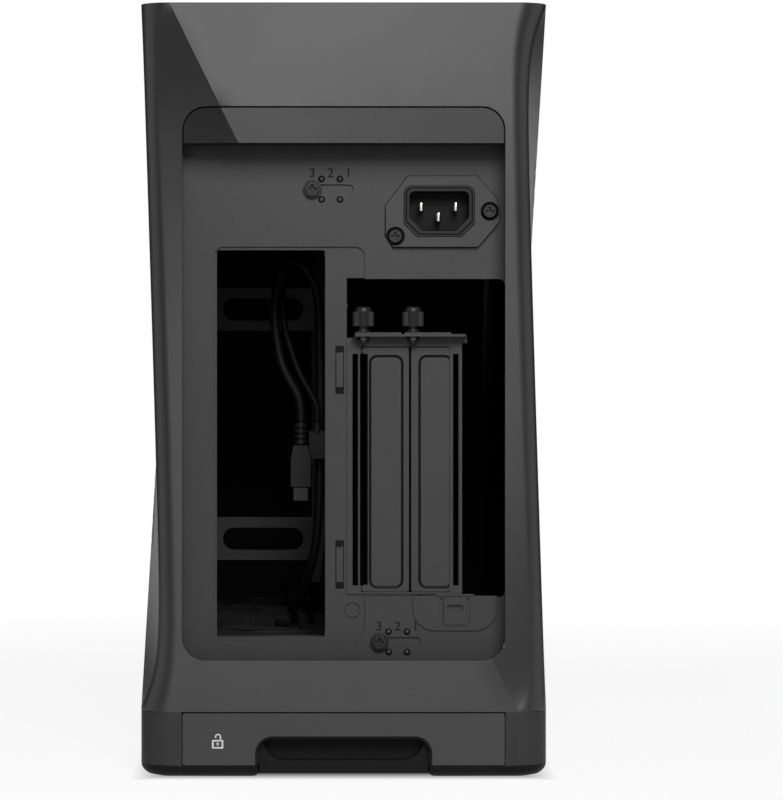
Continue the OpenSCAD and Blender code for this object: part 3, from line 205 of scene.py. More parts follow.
def addFloor():
    size = look["floorSize"]
    floor = newPiece("floor", [(-size, -size, 0), (size, -size, 0), (size, size, 0),
                               (-size, size, 0)], [(0, 1, 2, 3)])
    floor.location.z = look["floorZ"] * mm
    material = bpy.data.materials.new("paleFloor")
    material.use_nodes = True
    material.node_tree.nodes.clear()
    matt = addNode(material, "BsdfDiffuse", Color=(*[look["floorColor"]] * 3, 1))
    glow = addNode(material, "Emission", Color=(1, 1, 1, 1))
    power = addNode(material, "Math", whiteForView(material), floorGlowAndPaintedShadow(material),
                    operation="MULTIPLY")
    join(material, power, glow.inputs["Strength"])
    addNode(material, "OutputMaterial", addNode(material, "AddShader", matt, glow))
    floor.data.materials.append(material)
    floor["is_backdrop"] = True


def addFlags():
    # Dark cards beside the light's way, as photographers use them on a white ground
    cloth = newMaterial("flagCloth", (0.004, 0.004, 0.004), 0.9)
    top = look["flagHeight"]
    for x, name in ((-look["flagX"], "left"), (look["flagX"], "right")):
        for ending, (start, end) in look["flags"].items():
            flag = newPiece(name + ending, [(x, start, 0), (x, end, 0), (x, end, top),
                                            (x, start, top)], [(0, 1, 2, 3)])
            flag.data.materials.append(cloth)
            flag.visible_camera = False
            flag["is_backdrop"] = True


addCamera()
addWorld()
addFloor()
addFlags()
for name, lamp in lamps.items():
    addLamp(name, **lamp)
scene.view_settings.view_transform = "Standard"
print("stage ready")


# Finishes

def ownPlace(material):
    return addNode(material, "TexCoord").outputs["Object"]


def noise(material, scale, detail, where=None, rough=0.5):
    return addNode(material, "TexNoise", where or ownPlace(material), Scale=scale,
                   Detail=detail, Roughness=rough)


def ramp(material, source, stops):
    node = addNode(material, "ValToRGB", source)
    points = node.color_ramp.elements
    while len(points) < len(stops):
        points.new(0.5)
    for point, (at, color) in zip(points, stops):
        point.position = at
        point.color = (*color, 1)
    return node


def spread(material, source, least, most):
    return addNode(material, "MapRange", source, To_Min=least, To_Max=most)


def bump(material, source, height, strength=1):
    node = addNode(material, "Bump", Distance=height * mm, Strength=strength)
    join(material, source, node.inputs["Height"])
    return node


def feed(material, **sources):
    # Wires the sources into the material's main shader
    shader = material.node_tree.nodes["Principled BSDF"]
    for name, source in sources.items():
        join(material, source, shader.inputs[name.replace("_", " ")])
    return material


def grained(name, color, roughness, grain, height, metallic=0, specular=0.5):
    # A fine grain in the surface, a faint cloudiness in its colour and gloss
    material = newMaterial(name, color, roughness, metallic, specular)
    tones = [(at, tuple(min(1, c * factor) for c in color))
             for at, factor in ((0.3, 0.94), (0.7, 1.06))]
    fine = noise(material, grain, 2)
    return feed(material, Base_Color=ramp(material, noise(material, 14, 3), tones),
                Roughness=spread(material, fine, roughness - 0.05, roughness + 0.05),
                Normal=bump(material, fine, height))


def woodFinish():
    # Dark oiled wood with the grain along X
    material = newMaterial("oiledWood", (0.16, 0.08, 0.04), 0.5)
    where = addNode(material, "Mapping", ownPlace(material), Scale=(0.12, 1, 1))
    bands = addNode(material, "TexWave", where, Scale=60, Distortion=3.5, Detail=3,
                    bands_direction="Y")
    mix = addNode(material, "Math", bands.outputs["Fac"], noise(material, 30, 3, where),
                  operation="MULTIPLY")
    tones = [(0.05, (0.075, 0.034, 0.016)), (0.3, (0.15, 0.074, 0.036)),
             (0.6, (0.26, 0.14, 0.07))]
    pores = noise(material, 1400, 2, where, 0.6)
    return feed(material, Base_Color=ramp(material, mix, tones),
                Roughness=spread(material, pores, 0.4, 0.62),
                Normal=bump(material, pores, 0.12, 0.6))


def filterFinish(plane):
    # Woven filter mesh: threads along both directions of its plane
    material = newMaterial("filterMesh" + plane, (0.006, 0.006, 0.006), 0.7, 0, 0.1)
    bands = [addNode(material, "TexWave", ownPlace(material), Scale=260,
                     bands_direction=axis).outputs["Fac"] for axis in plane]
    threads = addNode(material, "Math", *bands, operation="MAXIMUM")
    tones = [(0.45, (0.001, 0.001, 0.001)), (0.9, (0.012, 0.012, 0.012))]
    return feed(material, Base_Color=ramp(material, threads, tones),
                Normal=bump(material, threads, 0.15))


# Name, colour, roughness, grain's scale and height, metallic, specular
paints = {
    "shell": ("anodisedAluminium", (0.056, 0.056, 0.0565), 0.42, 2600, 0.02, 0.85, 0.12),
    "trim": ("trimAluminium", (0.036, 0.036, 0.0365), 0.4, 2600, 0.02, 0.85, 0.12),
    "steel": ("powderCoat", (0.048, 0.048, 0.0485), 0.45, 1500, 0.03, 0.4, 0.12),
    # The next four are painted shade: darker copies of the steel and plastic for the shaded
    # interior, hollows, edges and grooves; the third of them is also the own black of the inlet
    # socket's floor
    "inner": ("innerShadeSteel", (0.0085, 0.0085, 0.0087), 0.55, 1500, 0.03, 0.2, 0.12),
    "floor": ("deepShadeSteel", (0.004, 0.004, 0.004), 0.6, 1500, 0.03, 0.1, 0.1),
    "scoop": ("scoopPlastic", (0.007, 0.007, 0.0071), 0.55, 1700, 0.02, 0, 0.1),
    "paintedShade": ("grooveShade", (0.006, 0.006, 0.006), 0.6, 1500, 0.03, 0, 0.1),
    "tray": ("trayPlastic", (0.047, 0.047, 0.048), 0.5, 1700, 0.02, 0, 0.1),
    "plastic": ("mouldedPlastic", (0.07, 0.07, 0.071), 0.5, 1700, 0.02, 0, 0.12),
    "black": ("blackPlastic", (0.01, 0.01, 0.0105), 0.5, 1500, 0.02, 0, 0.2),
    "rubber": ("rubber", (0.018, 0.018, 0.018), 0.75, 900, 0.04, 0, 0.3),
    "bright": ("nickelPlate", (0.55, 0.55, 0.57), 0.3, 900, 0.01, 1),
    "blades": ("nickelContacts", (0.8, 0.79, 0.76), 0.25, 700, 0.01, 1),
    "brass": ("brass", (0.6, 0.45, 0.2), 0.32, 900, 0.01, 1),
    "blackened": ("blackZinc", (0.014, 0.014, 0.0145), 0.4, 1200, 0.02, 0.4, 0.3),
    "board": ("solderMask", (0.016, 0.03, 0.02), 0.3, 500, 0.01),
    "screw": ("greyZinc", (0.03, 0.03, 0.031), 0.42, 1200, 0.02, 0.4, 0.2),
    "jacket": ("cableJacket", (0.004, 0.004, 0.0042), 0.6, 700, 0.05, 0, 0.2),
    # Painted shade for the stamped digits
    "digitShade": ("stampedDigitShade", (0.012, 0.012, 0.012), 0.6, 900, 0.005, 0, 0.1),
    "whiteInk": ("whiteInk", (0.8, 0.8, 0.8), 0.6, 900, 0.005, 0, 0.2),
    "fan": ("fanPlastic", (0.02, 0.02, 0.021), 0.5, 1500, 0.015, 0, 0.2),
}
finish = {key: grained(*values) for key, values in paints.items()}
finish.update(wood=woodFinish(), sideMesh=filterFinish("YZ"), topMesh=filterFinish("XY"))
print("finishes ready")


# Making meshes

def settle(piece):
    # Turns what the modifiers make into the piece's own plain mesh
    graph = bpy.context.evaluated_depsgraph_get()
    mesh = bpy.data.meshes.new_from_object(piece.evaluated_get(graph), depsgraph=graph)
    piece.modifiers.clear()
    piece.data = mesh
    mesh.name = piece.name
    return piece


def remove(piece):
    bpy.data.objects.remove(piece, do_unlink=True)


def carve(piece, tool, operation="DIFFERENCE"):
    step = piece.modifiers.new("carve", "BOOLEAN")
    step.object = tool
    step.operation = operation
    step.solver = "EXACT"
    settle(piece)
    remove(tool)
    return piece


def merged(pieces):
    # Several loose meshes as one, without cutting them into each other
    first = pieces[0]
    work = bmesh.new()
    for piece in pieces:
        work.from_mesh(piece.data)
    work.to_mesh(first.data)
    work.free()
    for piece in pieces[1:]:
        remove(piece)
    return first


def soften(piece, width, segments=2, angle=30):
    # Rounds the edges and shades the faces smoothly
    for face in piece.data.polygons:
        face.use_smooth = True
    step = piece.modifiers.new("edges", "BEVEL")
    step.width = width * mm
    step.segments = segments
    step.limit_method = "ANGLE"
    step.angle_limit = math.radians(angle)
    even = piece.modifiers.new("even", "WEIGHTED_NORMAL")
    even.weight = 100
    even.keep_sharp = True
    settle(piece)
    return piece


def cleaned(piece, angle=0.2):
    work = bmesh.new()
    work.from_mesh(piece.data)
    bmesh.ops.remove_doubles(work, verts=work.verts, dist=0.000005)
    bmesh.ops.dissolve_limit(work, angle_limit=math.radians(angle), verts=work.verts,
                             edges=work.edges)
    work.to_mesh(piece.data)
    work.free()
    return piece


def nodeCopy(name, newName):
    return cleaned(addObject(newName, nodes[name].data.copy()))


def handOver(piece, slotName, *replaced, body=None, material=None):
    # The piece takes a finish, unless it has its own, and rides with the nodes it replaces
    if material != "own":
        piece.data.materials.clear()
        piece.data.materials.append(finish[material or slotName])
    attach(piece, body or bodyOf[replaced[0]])
    if replaced:
        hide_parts(*replaced)
    return piece


def flatten(piece):
    # Plain shading on every face
    kept = piece.data.attributes.get("custom_normal")
    if kept:
        piece.data.attributes.remove(kept)
    for face in piece.data.polygons:
        face.use_smooth = False


def twoTone(piece, first, second, test):
    # The faces for which the test holds take the second finish
    piece.data.materials.clear()
    for name in (first, second):
        piece.data.materials.append(finish[name])
    for face in piece.data.polygons:
        face.material_index = 1 if test(face, *(value / mm for value in face.center)) else 0


def arc(x, z, radius, start, end, steps):
    # Points on a round stretch between two angles, in degrees
    turns = [math.radians(start + (end - start) * i / steps) for i in range(steps + 1)]
    return [(x + radius * math.cos(a), z + radius * math.sin(a)) for a in turns]


def roundedPoints(x, z, r, steps=8):
    corners = ((x[1] - r, z[1] - r, 0), (x[0] + r, z[1] - r, 90),
               (x[0] + r, z[0] + r, 180), (x[1] - r, z[0] + r, 270))
    return [p for cx, cz, start in corners for p in arc(cx, cz, r, start, start + 90, steps)]


def loft(name, rings, flip=False):
    # Closed solid through rings of equally many points
    count = len(rings[0])
    last = (len(rings) - 1) * count
    faces = [(i + j, i + (j + 1) % count, i + count + (j + 1) % count, i + count + j)
             for i in range(0, last, count) for j in range(count)]
    faces += [tuple(range(count - 1, -1, -1)), tuple(range(last, last + count))]
    if flip:
        faces = [face[::-1] for face in faces]
    return newPiece(name, [p for ring in rings for p in ring], faces)


def prism(name, outline, span, axis="Y"):
    # A flat outline, counter-clockwise, raised between two values along an axis
    def at(p, v):
        return {"X": (v, p[0], p[1]), "Y": (p[0], v, p[1]), "Z": (p[0], p[1], v)}[axis]
    return loft(name, [[at(p, v) for p in outline] for v in span], axis == "Y")


def brick(name, x, y, z):
    return prism(name, [(x[0], y[0]), (x[1], y[0]), (x[1], y[1]), (x[0], y[1])], z, "Z")


def lathe(name, profile, centre, y, sides=48):
    # A profile of (radius, height) turned round an axis along Y; height runs towards +Y
    turns = [2 * math.pi * i / sides for i in range(sides)]
    x, z = centre
    piece = loft(name, [[(x + r * math.cos(a), y + h, z + r * math.sin(a)) for a in turns]
                        for r, h in profile])
    work = bmesh.new()
    work.from_mesh(piece.data)
    bmesh.ops.recalc_face_normals(work, faces=work.faces)
    work.to_mesh(piece.data)
    work.free()
    return piece


def turned(name, profile, centre, sides=48):
    # The same, upright: a profile of (radius, height) round a vertical axis
    piece = lathe(name, profile, (0, 0), 0, sides)
    piece.data.transform(Matrix(((1, 0, 0, centre[0] * mm), (0, 0, -1, centre[1] * mm),
                                 (0, 1, 0, centre[2] * mm), (0, 0, 0, 1))))
    return piece


# Cables
# Their routes are those of the CAD model.

plugBody = 28.2  # from the cable's end down to the plug's metal tip
cables = {
    "usb": {"radius": 2, "plug": "usb_plug", "route": (
        (-30, 150, 12), (-30, 143, 14), (-30, 139, 22), (-30, 138, 32), (-29, 133, 48),
        (-27, 120, 57), (-25, 60, 58), (-23, 0, 58), (-21, -40, 60), (-17, -58, 70),
        (-12, -66, 90), (-10.5, -68, 120), (-10.5, -68, 185), (-13, -69, 202), (-20, -71, 211),
        (-27, -74, 206), (-30, -78, 190), (-27, -82, 168), (-20, -83, 154), (-18.5, -83, 147),
        (-18.5, -83, 142))},
    "panel": {"radius": 1.5, "plug": "panel_plug", "route": (
        (-20, 150, 12), (-20, 143, 14), (-20, 139, 22), (-20, 138, 32), (-20, 133, 48),
        (-19, 120, 57), (-18, 60, 58), (-16, 0, 58), (-13, -40, 59), (-9, -52, 72),
        (-6.5, -56, 95), (-5.5, -56, 120), (-5.5, -56, 190), (-9, -57, 208), (-18, -60, 214),
        (-26, -65, 202), (-26, -72, 185), (-20, -76, 165), (-13, -77, 152), (-11.5, -77, 147),
        (-11.5, -77, 142))},
}


def smoothLine(points, steps):
    points = [Vector(p) for p in points]
    line = []
    for i in range(len(points) - 1):
        a, b = points[max(i - 1, 0)], points[i]
        c, d = points[i + 1], points[min(i + 2, len(points) - 1)]
        for k in range(steps):
            u = k / steps
            line.append(0.5 * (2 * b + u * (c - a) + u * u * (2 * a - 5 * b + 4 * c - d)
                               + u ** 3 * (3 * b - a - 3 * c + d)))
    return line + [points[-1]]


def tube(name, line, radius, sides=14):
    turns = [2 * math.pi * k / sides for k in range(sides)]
    rings = []
    side = None
    for i, p in enumerate(line):
        way = (line[min(i + 1, len(line) - 1)] - line[max(i - 1, 0)]).normalized()
        side = (side or way.orthogonal()).normalized()
        side = (side - way * side.dot(way)).normalized()
        up = way.cross(side)
        rings.append([p + radius * (math.cos(a) * side + math.sin(a) * up) for a in turns])
    piece = loft(name, rings)
    for face in piece.data.polygons:
        face.use_smooth = True
    return piece


def makeCable(key):
    settings = cables[key]
    route = settings["route"]
    line = smoothLine(route, 4)
    jacket = tube(key + "Cable", line, settings["radius"])
    handOver(jacket, "rubber", key + "_cable", material="jacket")
    plug = soften(nodeCopy(settings["plug"], key + "Plug"), 0.3)
    twoTone(plug, "black", "screw", lambda face, x, y, z: z < route[-1][2] - plugBody)
    handOver(plug, "black", settings["plug"], material="own")


makeCable("usb")
makeCable("panel")
print("cables ready")


# Geometry Nodes trees

def startTree(name, **values):
    # A new tree whose inputs are named after the sizes given, which are in metres
    tree = bpy.data.node_groups.new(name, "GeometryNodeTree")
    addSocket = tree.interface.new_socket
    addSocket("Points", in_out="INPUT", socket_type="NodeSocketGeometry")
    for label, value in values.items():
        kind = {int: "Int", float: "Float", tuple: "Vector"}[type(value)]
        socket = addSocket(label, in_out="INPUT", socket_type="NodeSocket" + kind)
        socket.default_value = value
    addSocket("Geometry", in_out="OUTPUT", socket_type="NodeSocketGeometry")
    return tree, tree.nodes.new("NodeGroupInput").outputs


def put(tree, kind, wires, **settings):
    # Adds a node; a wire is a socket, a value or a list of sockets
    node = tree.nodes.new("GeometryNode" + kind if not kind.startswith("Shader") else kind)
    for name, value in settings.items():
        setattr(node, name, value)
    for name, value in wires.items():
        socket = node.inputs[name]
        for item in value if isinstance(value, list) else [value]:
            if isinstance(item, bpy.types.NodeSocket):
                tree.links.new(item, socket)
            else:
                socket.default_value = item
    return node.outputs[0]


def calc(tree, operation, a, b):
    return put(tree, "ShaderNodeMath", {0: a, 1: b}, operation=operation)


def triple(tree, x, y, z):
    return put(tree, "ShaderNodeCombineXYZ", {"X": x, "Y": y, "Z": z})


def raised(tree, part, height):
    return put(tree, "Transform", {"Geometry": part, "Translation": triple(tree, 0, 0, height)})


def cone(tree, sides, bottom, top, depth):
    return put(tree, "MeshCone", {"Vertices": sides, "Radius Bottom": bottom,
                                  "Radius Top": top, "Depth": depth})


def endTree(tree, points, part, **settings):
    # One copy of the part at each point, as a plain mesh
    copies = put(tree, "InstanceOnPoints", {"Points": points, "Instance": part, **settings})
    plain = put(tree, "RealizeInstances", {"Geometry": copies})
    tree.links.new(plain, tree.nodes.new("NodeGroupOutput").inputs[0])
    return tree


def grow(name, tree, points=((0, 0, 0),), **values):
    # Runs a tree on loose points and keeps the plain mesh. Its lengths are in millimetres.
    piece = newPiece(name, points, [])
    step = piece.modifiers.new("grow", "NODES")
    step.node_group = tree
    for item in tree.interface.items_tree:
        if item.in_out == "INPUT" and item.name in values:
            value = values[item.name]
            isLength = item.socket_type == "NodeSocketFloat"
            step[item.identifier] = value * mm if isLength else value
    return settle(piece)


def screwTree():
    # A head with a cross recess on a round flange, over a plain shank. It points along +Z.
    tree, sizes = startTree("screws", Sides=32, HeadRadius=0.003, TopRadius=0.0024,
                            HeadHeight=0.0016, FlangeRadius=0.003, FlangeHeight=0.0003,
                            ShankRadius=0.0015, ShankLength=0.004, CrossLength=0.003,
                            CrossWidth=0.0007, CrossDepth=0.0012, Turn=(math.pi / 2, 0.0, 0.0))
    flat, thick, long = sizes["HeadHeight"], sizes["FlangeHeight"], sizes["ShankLength"]
    head = cone(tree, sizes["Sides"], sizes["HeadRadius"], sizes["TopRadius"], flat)
    full = calc(tree, "ADD", flat, thick)
    recess = calc(tree, "MULTIPLY", sizes["CrossDepth"], 2.0)
    a, b = sizes["CrossLength"], sizes["CrossWidth"]
    bars = [raised(tree, put(tree, "MeshCube", {"Size": triple(tree, *size, recess)}), full)
            for size in ((a, b), (b, a))]
    cut = put(tree, "MeshBoolean", {"Mesh 1": raised(tree, head, thick), "Mesh 2": bars},
              operation="DIFFERENCE", solver="EXACT")
    flange = cone(tree, 40, sizes["FlangeRadius"], sizes["FlangeRadius"], thick)
    shank = cone(tree, 20, sizes["ShankRadius"], sizes["ShankRadius"], long)
    shank = raised(tree, shank, calc(tree, "MULTIPLY", long, -1.0))
    whole = put(tree, "JoinGeometry", {0: [cut, flange, shank]})
    return endTree(tree, sizes["Points"], whole, Rotation=sizes["Turn"])


def knurlTree():
    # A round core with straight ribs all round, upright
    tree, sizes = startTree("knurl", Ribs=44, Radius=0.0041, Height=0.006, RibWidth=0.00042)
    ring = put(tree, "MeshCircle", {"Vertices": sizes["Ribs"], "Radius": sizes["Radius"]})
    rib = put(tree, "MeshCube", {"Size": triple(tree, sizes["RibWidth"], sizes["RibWidth"],
                                                sizes["Height"])})
    rib = put(tree, "Transform", {"Geometry": rib, "Rotation": (0, 0, math.pi / 4)})
    turn = tree.nodes.new("FunctionNodeAlignRotationToVector")
    turn.axis = "X"
    tree.links.new(put(tree, "InputPosition", {}), turn.inputs["Vector"])
    ribs = put(tree, "InstanceOnPoints", {"Points": ring, "Instance": rib,
                                          "Rotation": turn.outputs[0]})
    core = put(tree, "MeshCylinder", {"Vertices": 48, "Radius": sizes["Radius"],
                                      "Depth": sizes["Height"]})
    whole = put(tree, "JoinGeometry", {0: [core, ribs]})
    return endTree(tree, sizes["Points"], whole)


def slotTree():
    # Cutters for a field of slots with round ends, which run along Z through the field
    tree, sizes = startTree("slotField", Columns=26, Rows=3, Pitch=0.009, RowStep=0.06,
                            Length=0.05, Width=0.0044, Depth=0.08)
    outline = put(tree, "CurvePrimitiveQuadrilateral", {"Width": sizes["Width"],
                                                        "Height": sizes["Length"]})
    outline = put(tree, "FilletCurve", {
        "Curve": outline, "Count": 7, "Limit Radius": True,
        "Radius": calc(tree, "MULTIPLY", sizes["Width"], 0.4999)}, mode="POLY")
    half = calc(tree, "MULTIPLY", sizes["Depth"], 0.5)
    path = put(tree, "CurvePrimitiveLine", {
        "Start": triple(tree, 0, 0, calc(tree, "MULTIPLY", half, -1.0)),
        "End": triple(tree, 0, 0, half)})
    slot = put(tree, "CurveToMesh", {"Curve": path, "Profile Curve": outline,
                                     "Fill Caps": True})
    spans = [calc(tree, "MULTIPLY", sizes[step], calc(tree, "ADD", sizes[count], -1.0))
             for step, count in (("Pitch", "Columns"), ("RowStep", "Rows"))]
    field = put(tree, "MeshGrid", {"Size X": spans[0], "Size Y": spans[1],
                                   "Vertices X": sizes["Columns"], "Vertices Y": sizes["Rows"]})
    return endTree(tree, field, slot)


trees = {"screws": screwTree(), "knurl": knurlTree(), "slots": slotTree()}
print("node trees ready")


# Lift-off shell
# Its corners lean in between the ends, so every side has a slanting crease.

wallMesh = {"levels": 72, "blockRows": 7, "arcSteps": 12, "flatSteps": 14, "blockSteps": 6}


def inset(t):
    return case["lean"] * (1 - t) * (1 - math.exp(-t / 0.04))


def fillet(t):
    return case["waistRadius"] + (case["cornerRadius"] - case["waistRadius"]) * (2 * t - 1) ** 8


def levelHeight(t):
    return case["baseHeight"] + t * (case["height"] - case["baseHeight"])


def creaseX(t):
    return (halfW - case["creaseIn"]) * (1 - 2 * t)


def creaseY(t):
    return (halfD - case["creaseIn"]) * (2 * t - 1)


def keyPoints(t):
    # Counter-clockwise from the rear crease: crease, corner, crease, corner ...
    return [Vector(p) for p in (
        (creaseX(t), -halfD), (halfW - inset(1 - t), inset(t) - halfD),
        (halfW, -creaseY(t)), (halfW - inset(t), halfD - inset(1 - t)),
        (-creaseX(t), halfD), (inset(1 - t) - halfW, halfD - inset(t)),
        (-halfW, creaseY(t)), (inset(t) - halfW, inset(1 - t) - halfD))]


def outward(a, b):
    way = (b - a).normalized()
    return Vector((way.y, -way.x))


def shrunk(points, width):
    out = []
    for i in range(8):
        a = outward(points[i - 1], points[i])
        b = outward(points[i], points[(i + 1) % 8])
        out.append(points[i] - width * (a + b) / (1 + a.dot(b)))
    return out


def wallOutline(t, width, flatSteps):
    arcSteps = wallMesh["arcSteps"]
    keys = shrunk(keyPoints(t), width)
    radius = fillet(t) - width
    rounded = []
    for i in (1, 3, 5, 7):
        a, b, c = keys[i - 1], keys[i], keys[(i + 1) % 8]
        normal = outward(a, b)
        bend = math.acos(min(1, normal.dot(outward(b, c))))
        centre = b - (b - a).normalized() * radius * math.tan(bend / 2) - normal * radius
        arc = []
        for k in range(arcSteps + 1):
            turn = Matrix.Rotation(bend * k / arcSteps, 2)
            arc.append(centre + turn @ normal * radius)
        rounded.append((a, arc, c))
    points = []
    for crease, arc, after in rounded:
        points += [crease.lerp(arc[0], k / flatSteps) for k in range(flatSteps)]
        points += arc[:-1]
        points += [arc[-1].lerp(after, k / flatSteps) for k in range(flatSteps)]
    return points


def wallSolid(name, outer, inner, heights=None):
    # Closed tube between two insets of the shell's surface
    levels = wallMesh["levels"]
    ts = [(1 - math.cos(math.pi * i / levels)) / 2 for i in range(levels + 1)]
    if heights:
        span = case["height"] - case["baseHeight"]
        low, high = [(z - case["baseHeight"]) / span for z in heights]
        ts = [low] + [t for t in ts if low + 0.004 < t < high - 0.004] + [high]
    rings = []
    for width in (outer, inner):
        for t in ts:
            ring = wallOutline(t, width, wallMesh["flatSteps"])
            rings.append([(p.x, p.y, levelHeight(t)) for p in ring])
    count = len(rings[0])
    rows = len(ts)
    points = [p for ring in rings for p in ring]
    faces = []
    for i in range(rows - 1):
        for j in range(count):
            a, b = i * count + j, i * count + (j + 1) % count
            faces.append((a, b, b + count, a + count))
            c, d = a + rows * count, b + rows * count
            faces.append((d, c, c + count, d + count))
    top = (rows - 1) * count
    for j in range(count):
        k = (j + 1) % count
        faces.append((k, j, rows * count + j, rows * count + k))
        faces.append((top + j, top + k, rows * count + top + k, rows * count + top + j))
    return newPiece(name, points, faces)


def wallBlock(name, width, heights):
    # Solid that fills the shell's form between two heights
    span = case["height"] - case["baseHeight"]
    last = wallMesh["blockRows"] - 1
    rings = []
    for i in range(last + 1):
        z = heights[0] + (heights[1] - heights[0]) * i / last
        ring = wallOutline((z - case["baseHeight"]) / span, width, wallMesh["blockSteps"])
        rings.append([(p.x, p.y, z) for p in ring])
    return loft(name, rings)


def markCreases(piece):
    # Keeps the slanting creases crisp in the smooth shading
    def onCrease(p):
        x, y, z = p / mm
        t = (z - case["baseHeight"]) / (case["height"] - case["baseHeight"])
        if not -0.001 <= t <= 1.001:
            return False
        return any(abs(along) < 0.06 and abs(across) < 0.03 for along, across in (
            (x - creaseX(t), y + halfD), (x + creaseX(t), y - halfD),
            (y + creaseY(t), x - halfW), (y - creaseY(t), x + halfW)))
    mesh = piece.data
    sharp = mesh.attributes.get("sharp_edge") or mesh.attributes.new(
        "sharp_edge", "BOOLEAN", "EDGE")
    hit = [onCrease(v.co) for v in mesh.vertices]
    for edge in mesh.edges:
        a, b = edge.vertices
        if hit[a] and hit[b]:
            sharp.data[edge.index].value = True


def ventTool(side, more):
    y = case["ventY"] + more
    z = (case["ventZ"][0] - more, case["ventZ"][1] + more)
    span = (halfW / 2, 100) if side > 0 else (-100, -halfW / 2)
    return prism("tool", roundedPoints((-y, y), z, case["ventRadius"] + more, 10), span, "X")


def openingTool(shrink=0):
    x = case["openingX"] - shrink
    z = (case["openingZ"][0] + shrink, case["openingZ"][1] - shrink)
    return prism("tool", roundedPoints((-x, x), z, case["openingRadius"] - shrink, 10),
                 (-200, 0), "Y")


shell = {"ledge": 6, "ledgeZ": (303, 305)}


def makeShell():
    walls = wallSolid("shellWalls", 0, case["wall"])
    carve(walls, openingTool())
    for side in (-1, 1):
        carve(walls, ventTool(side, 0))
    ledge = wallSolid("ledge", case["wall"] / 2, case["wall"] + shell["ledge"], shell["ledgeZ"])
    soften(walls, 0.35, 2, 40)
    merged([walls, ledge])
    markCreases(walls)
    # The cut edge of the rear opening lies in shade
    twoTone(walls, "shell", "paintedShade", lambda face, x, y, z:
            abs(x) < case["openingX"] + 0.7 and abs(face.normal.y) < 0.5 and y < -150
            and case["openingZ"][0] - 0.9 < z < case["openingZ"][1] + 1.4)
    return handOver(walls, "shell", "outer_shell", material="own")


trim = {"z": 257.2, "gap": 0.7, "lip": 1.2, "lipX": 69.5, "lipTop": 278.1,
        "shelfX": 62.5, "shelf": 1.5, "shelfGap": 5}


def makeTrim():
    # Strip in the top of the rear opening, with its lip behind the shell and a shelf
    zs = (230, 300)
    face = wallSolid("rearTrimStrip", 0, case["wall"], zs)
    carve(face, openingTool(trim["gap"]), "INTERSECT")
    carve(face, brick("tool", (-80, 80), (-200, 0), (trim["z"], 300)), "INTERSECT")
    lip = wallSolid("lip", case["wall"], case["wall"] + trim["lip"], zs)
    carve(lip, brick("tool", (-trim["lipX"], trim["lipX"]), (-200, 0),
                     (trim["z"], trim["lipTop"])), "INTERSECT")
    shelf = brick("shelf", (-trim["shelfX"], trim["shelfX"]),
                  (-200, case["panelY"] - trim["shelfGap"]), (trim["z"], trim["z"] + trim["shelf"]))
    carve(shelf, wallBlock("tool", case["wall"] / 2, (250, 265)), "INTERSECT")
    soften(face, 0.25, 2, 40)
    start = len(face.data.polygons)
    end = start + len(lip.data.polygons)
    merged([face, lip, shelf])
    # Painted shade: the lip behind the shell takes the dark shade finish
    twoTone(face, "trim", "paintedShade", lambda face, x, y, z: start <= face.index < end)
    flatten(face)
    return handOver(face, "shell", "rear_trim", material="own")


vent = {"pitch": 9, "width": 4.4, "rows": 3, "margin": 9, "gap": 8, "seam": 0.3, "rim": 1,
        "rimOverlap": 3, "mesh": (1.05, 1.35), "meshOverlap": 2.2, "cutDepth": 50, "cutX": 78}
ventBand = (60, 280)


def ventSlots(side):
    low, high = case["ventZ"]
    step = (high - low - 2 * vent["margin"]) / vent["rows"]
    tools = grow("slots", trees["slots"], Rows=vent["rows"], Depth=vent["cutDepth"],
                 Columns=int((2 * case["ventY"] - 14) / vent["pitch"]), Pitch=vent["pitch"],
                 RowStep=step, Length=step - vent["gap"], Width=vent["width"])
    upright = Matrix(((0, 0, 1, side * vent["cutX"] * mm), (1, 0, 0, 0),
                      (0, 1, 0, (low + high) / 2 * mm), (0, 0, 0, 1)))
    tools.data.transform(upright)
    return tools


def makeVentPanel(side, name):
    face = wallSolid(name + "VentGrille", 0, case["wall"], ventBand)
    carve(face, ventTool(side, -vent["seam"]), "INTERSECT")
    carve(face, ventSlots(side))
    soften(face, 0.2, 1, 40)
    rim = wallSolid("rim", case["wall"], case["wall"] + vent["rim"], ventBand)
    carve(rim, ventTool(side, vent["rimOverlap"]), "INTERSECT")
    carve(rim, ventSlots(side))
    merged([face, rim])
    markCreases(face)
    handOver(face, "shell", name + "_vent_panel")


def makeDustSheet(side, name):
    # Fine filter mesh behind a vent grille, as one thin sheet
    inner, outer = (case["wall"] + depth for depth in vent["mesh"])
    sheet = wallSolid(name + "DustSheet", inner, outer, ventBand)
    carve(sheet, ventTool(side, vent["meshOverlap"]), "INTERSECT")
    handOver(sheet, "black", body="lift_off_shell", material="sideMesh")


board = {"gap": 0.6, "z": (305, 313), "slotPitch": 12, "slotLength": 115, "slotWidth": 5.5,
         "slotEnds": 60, "cutDepth": 30, "mesh": (61, 158), "meshZ": (304.6, 304.95)}


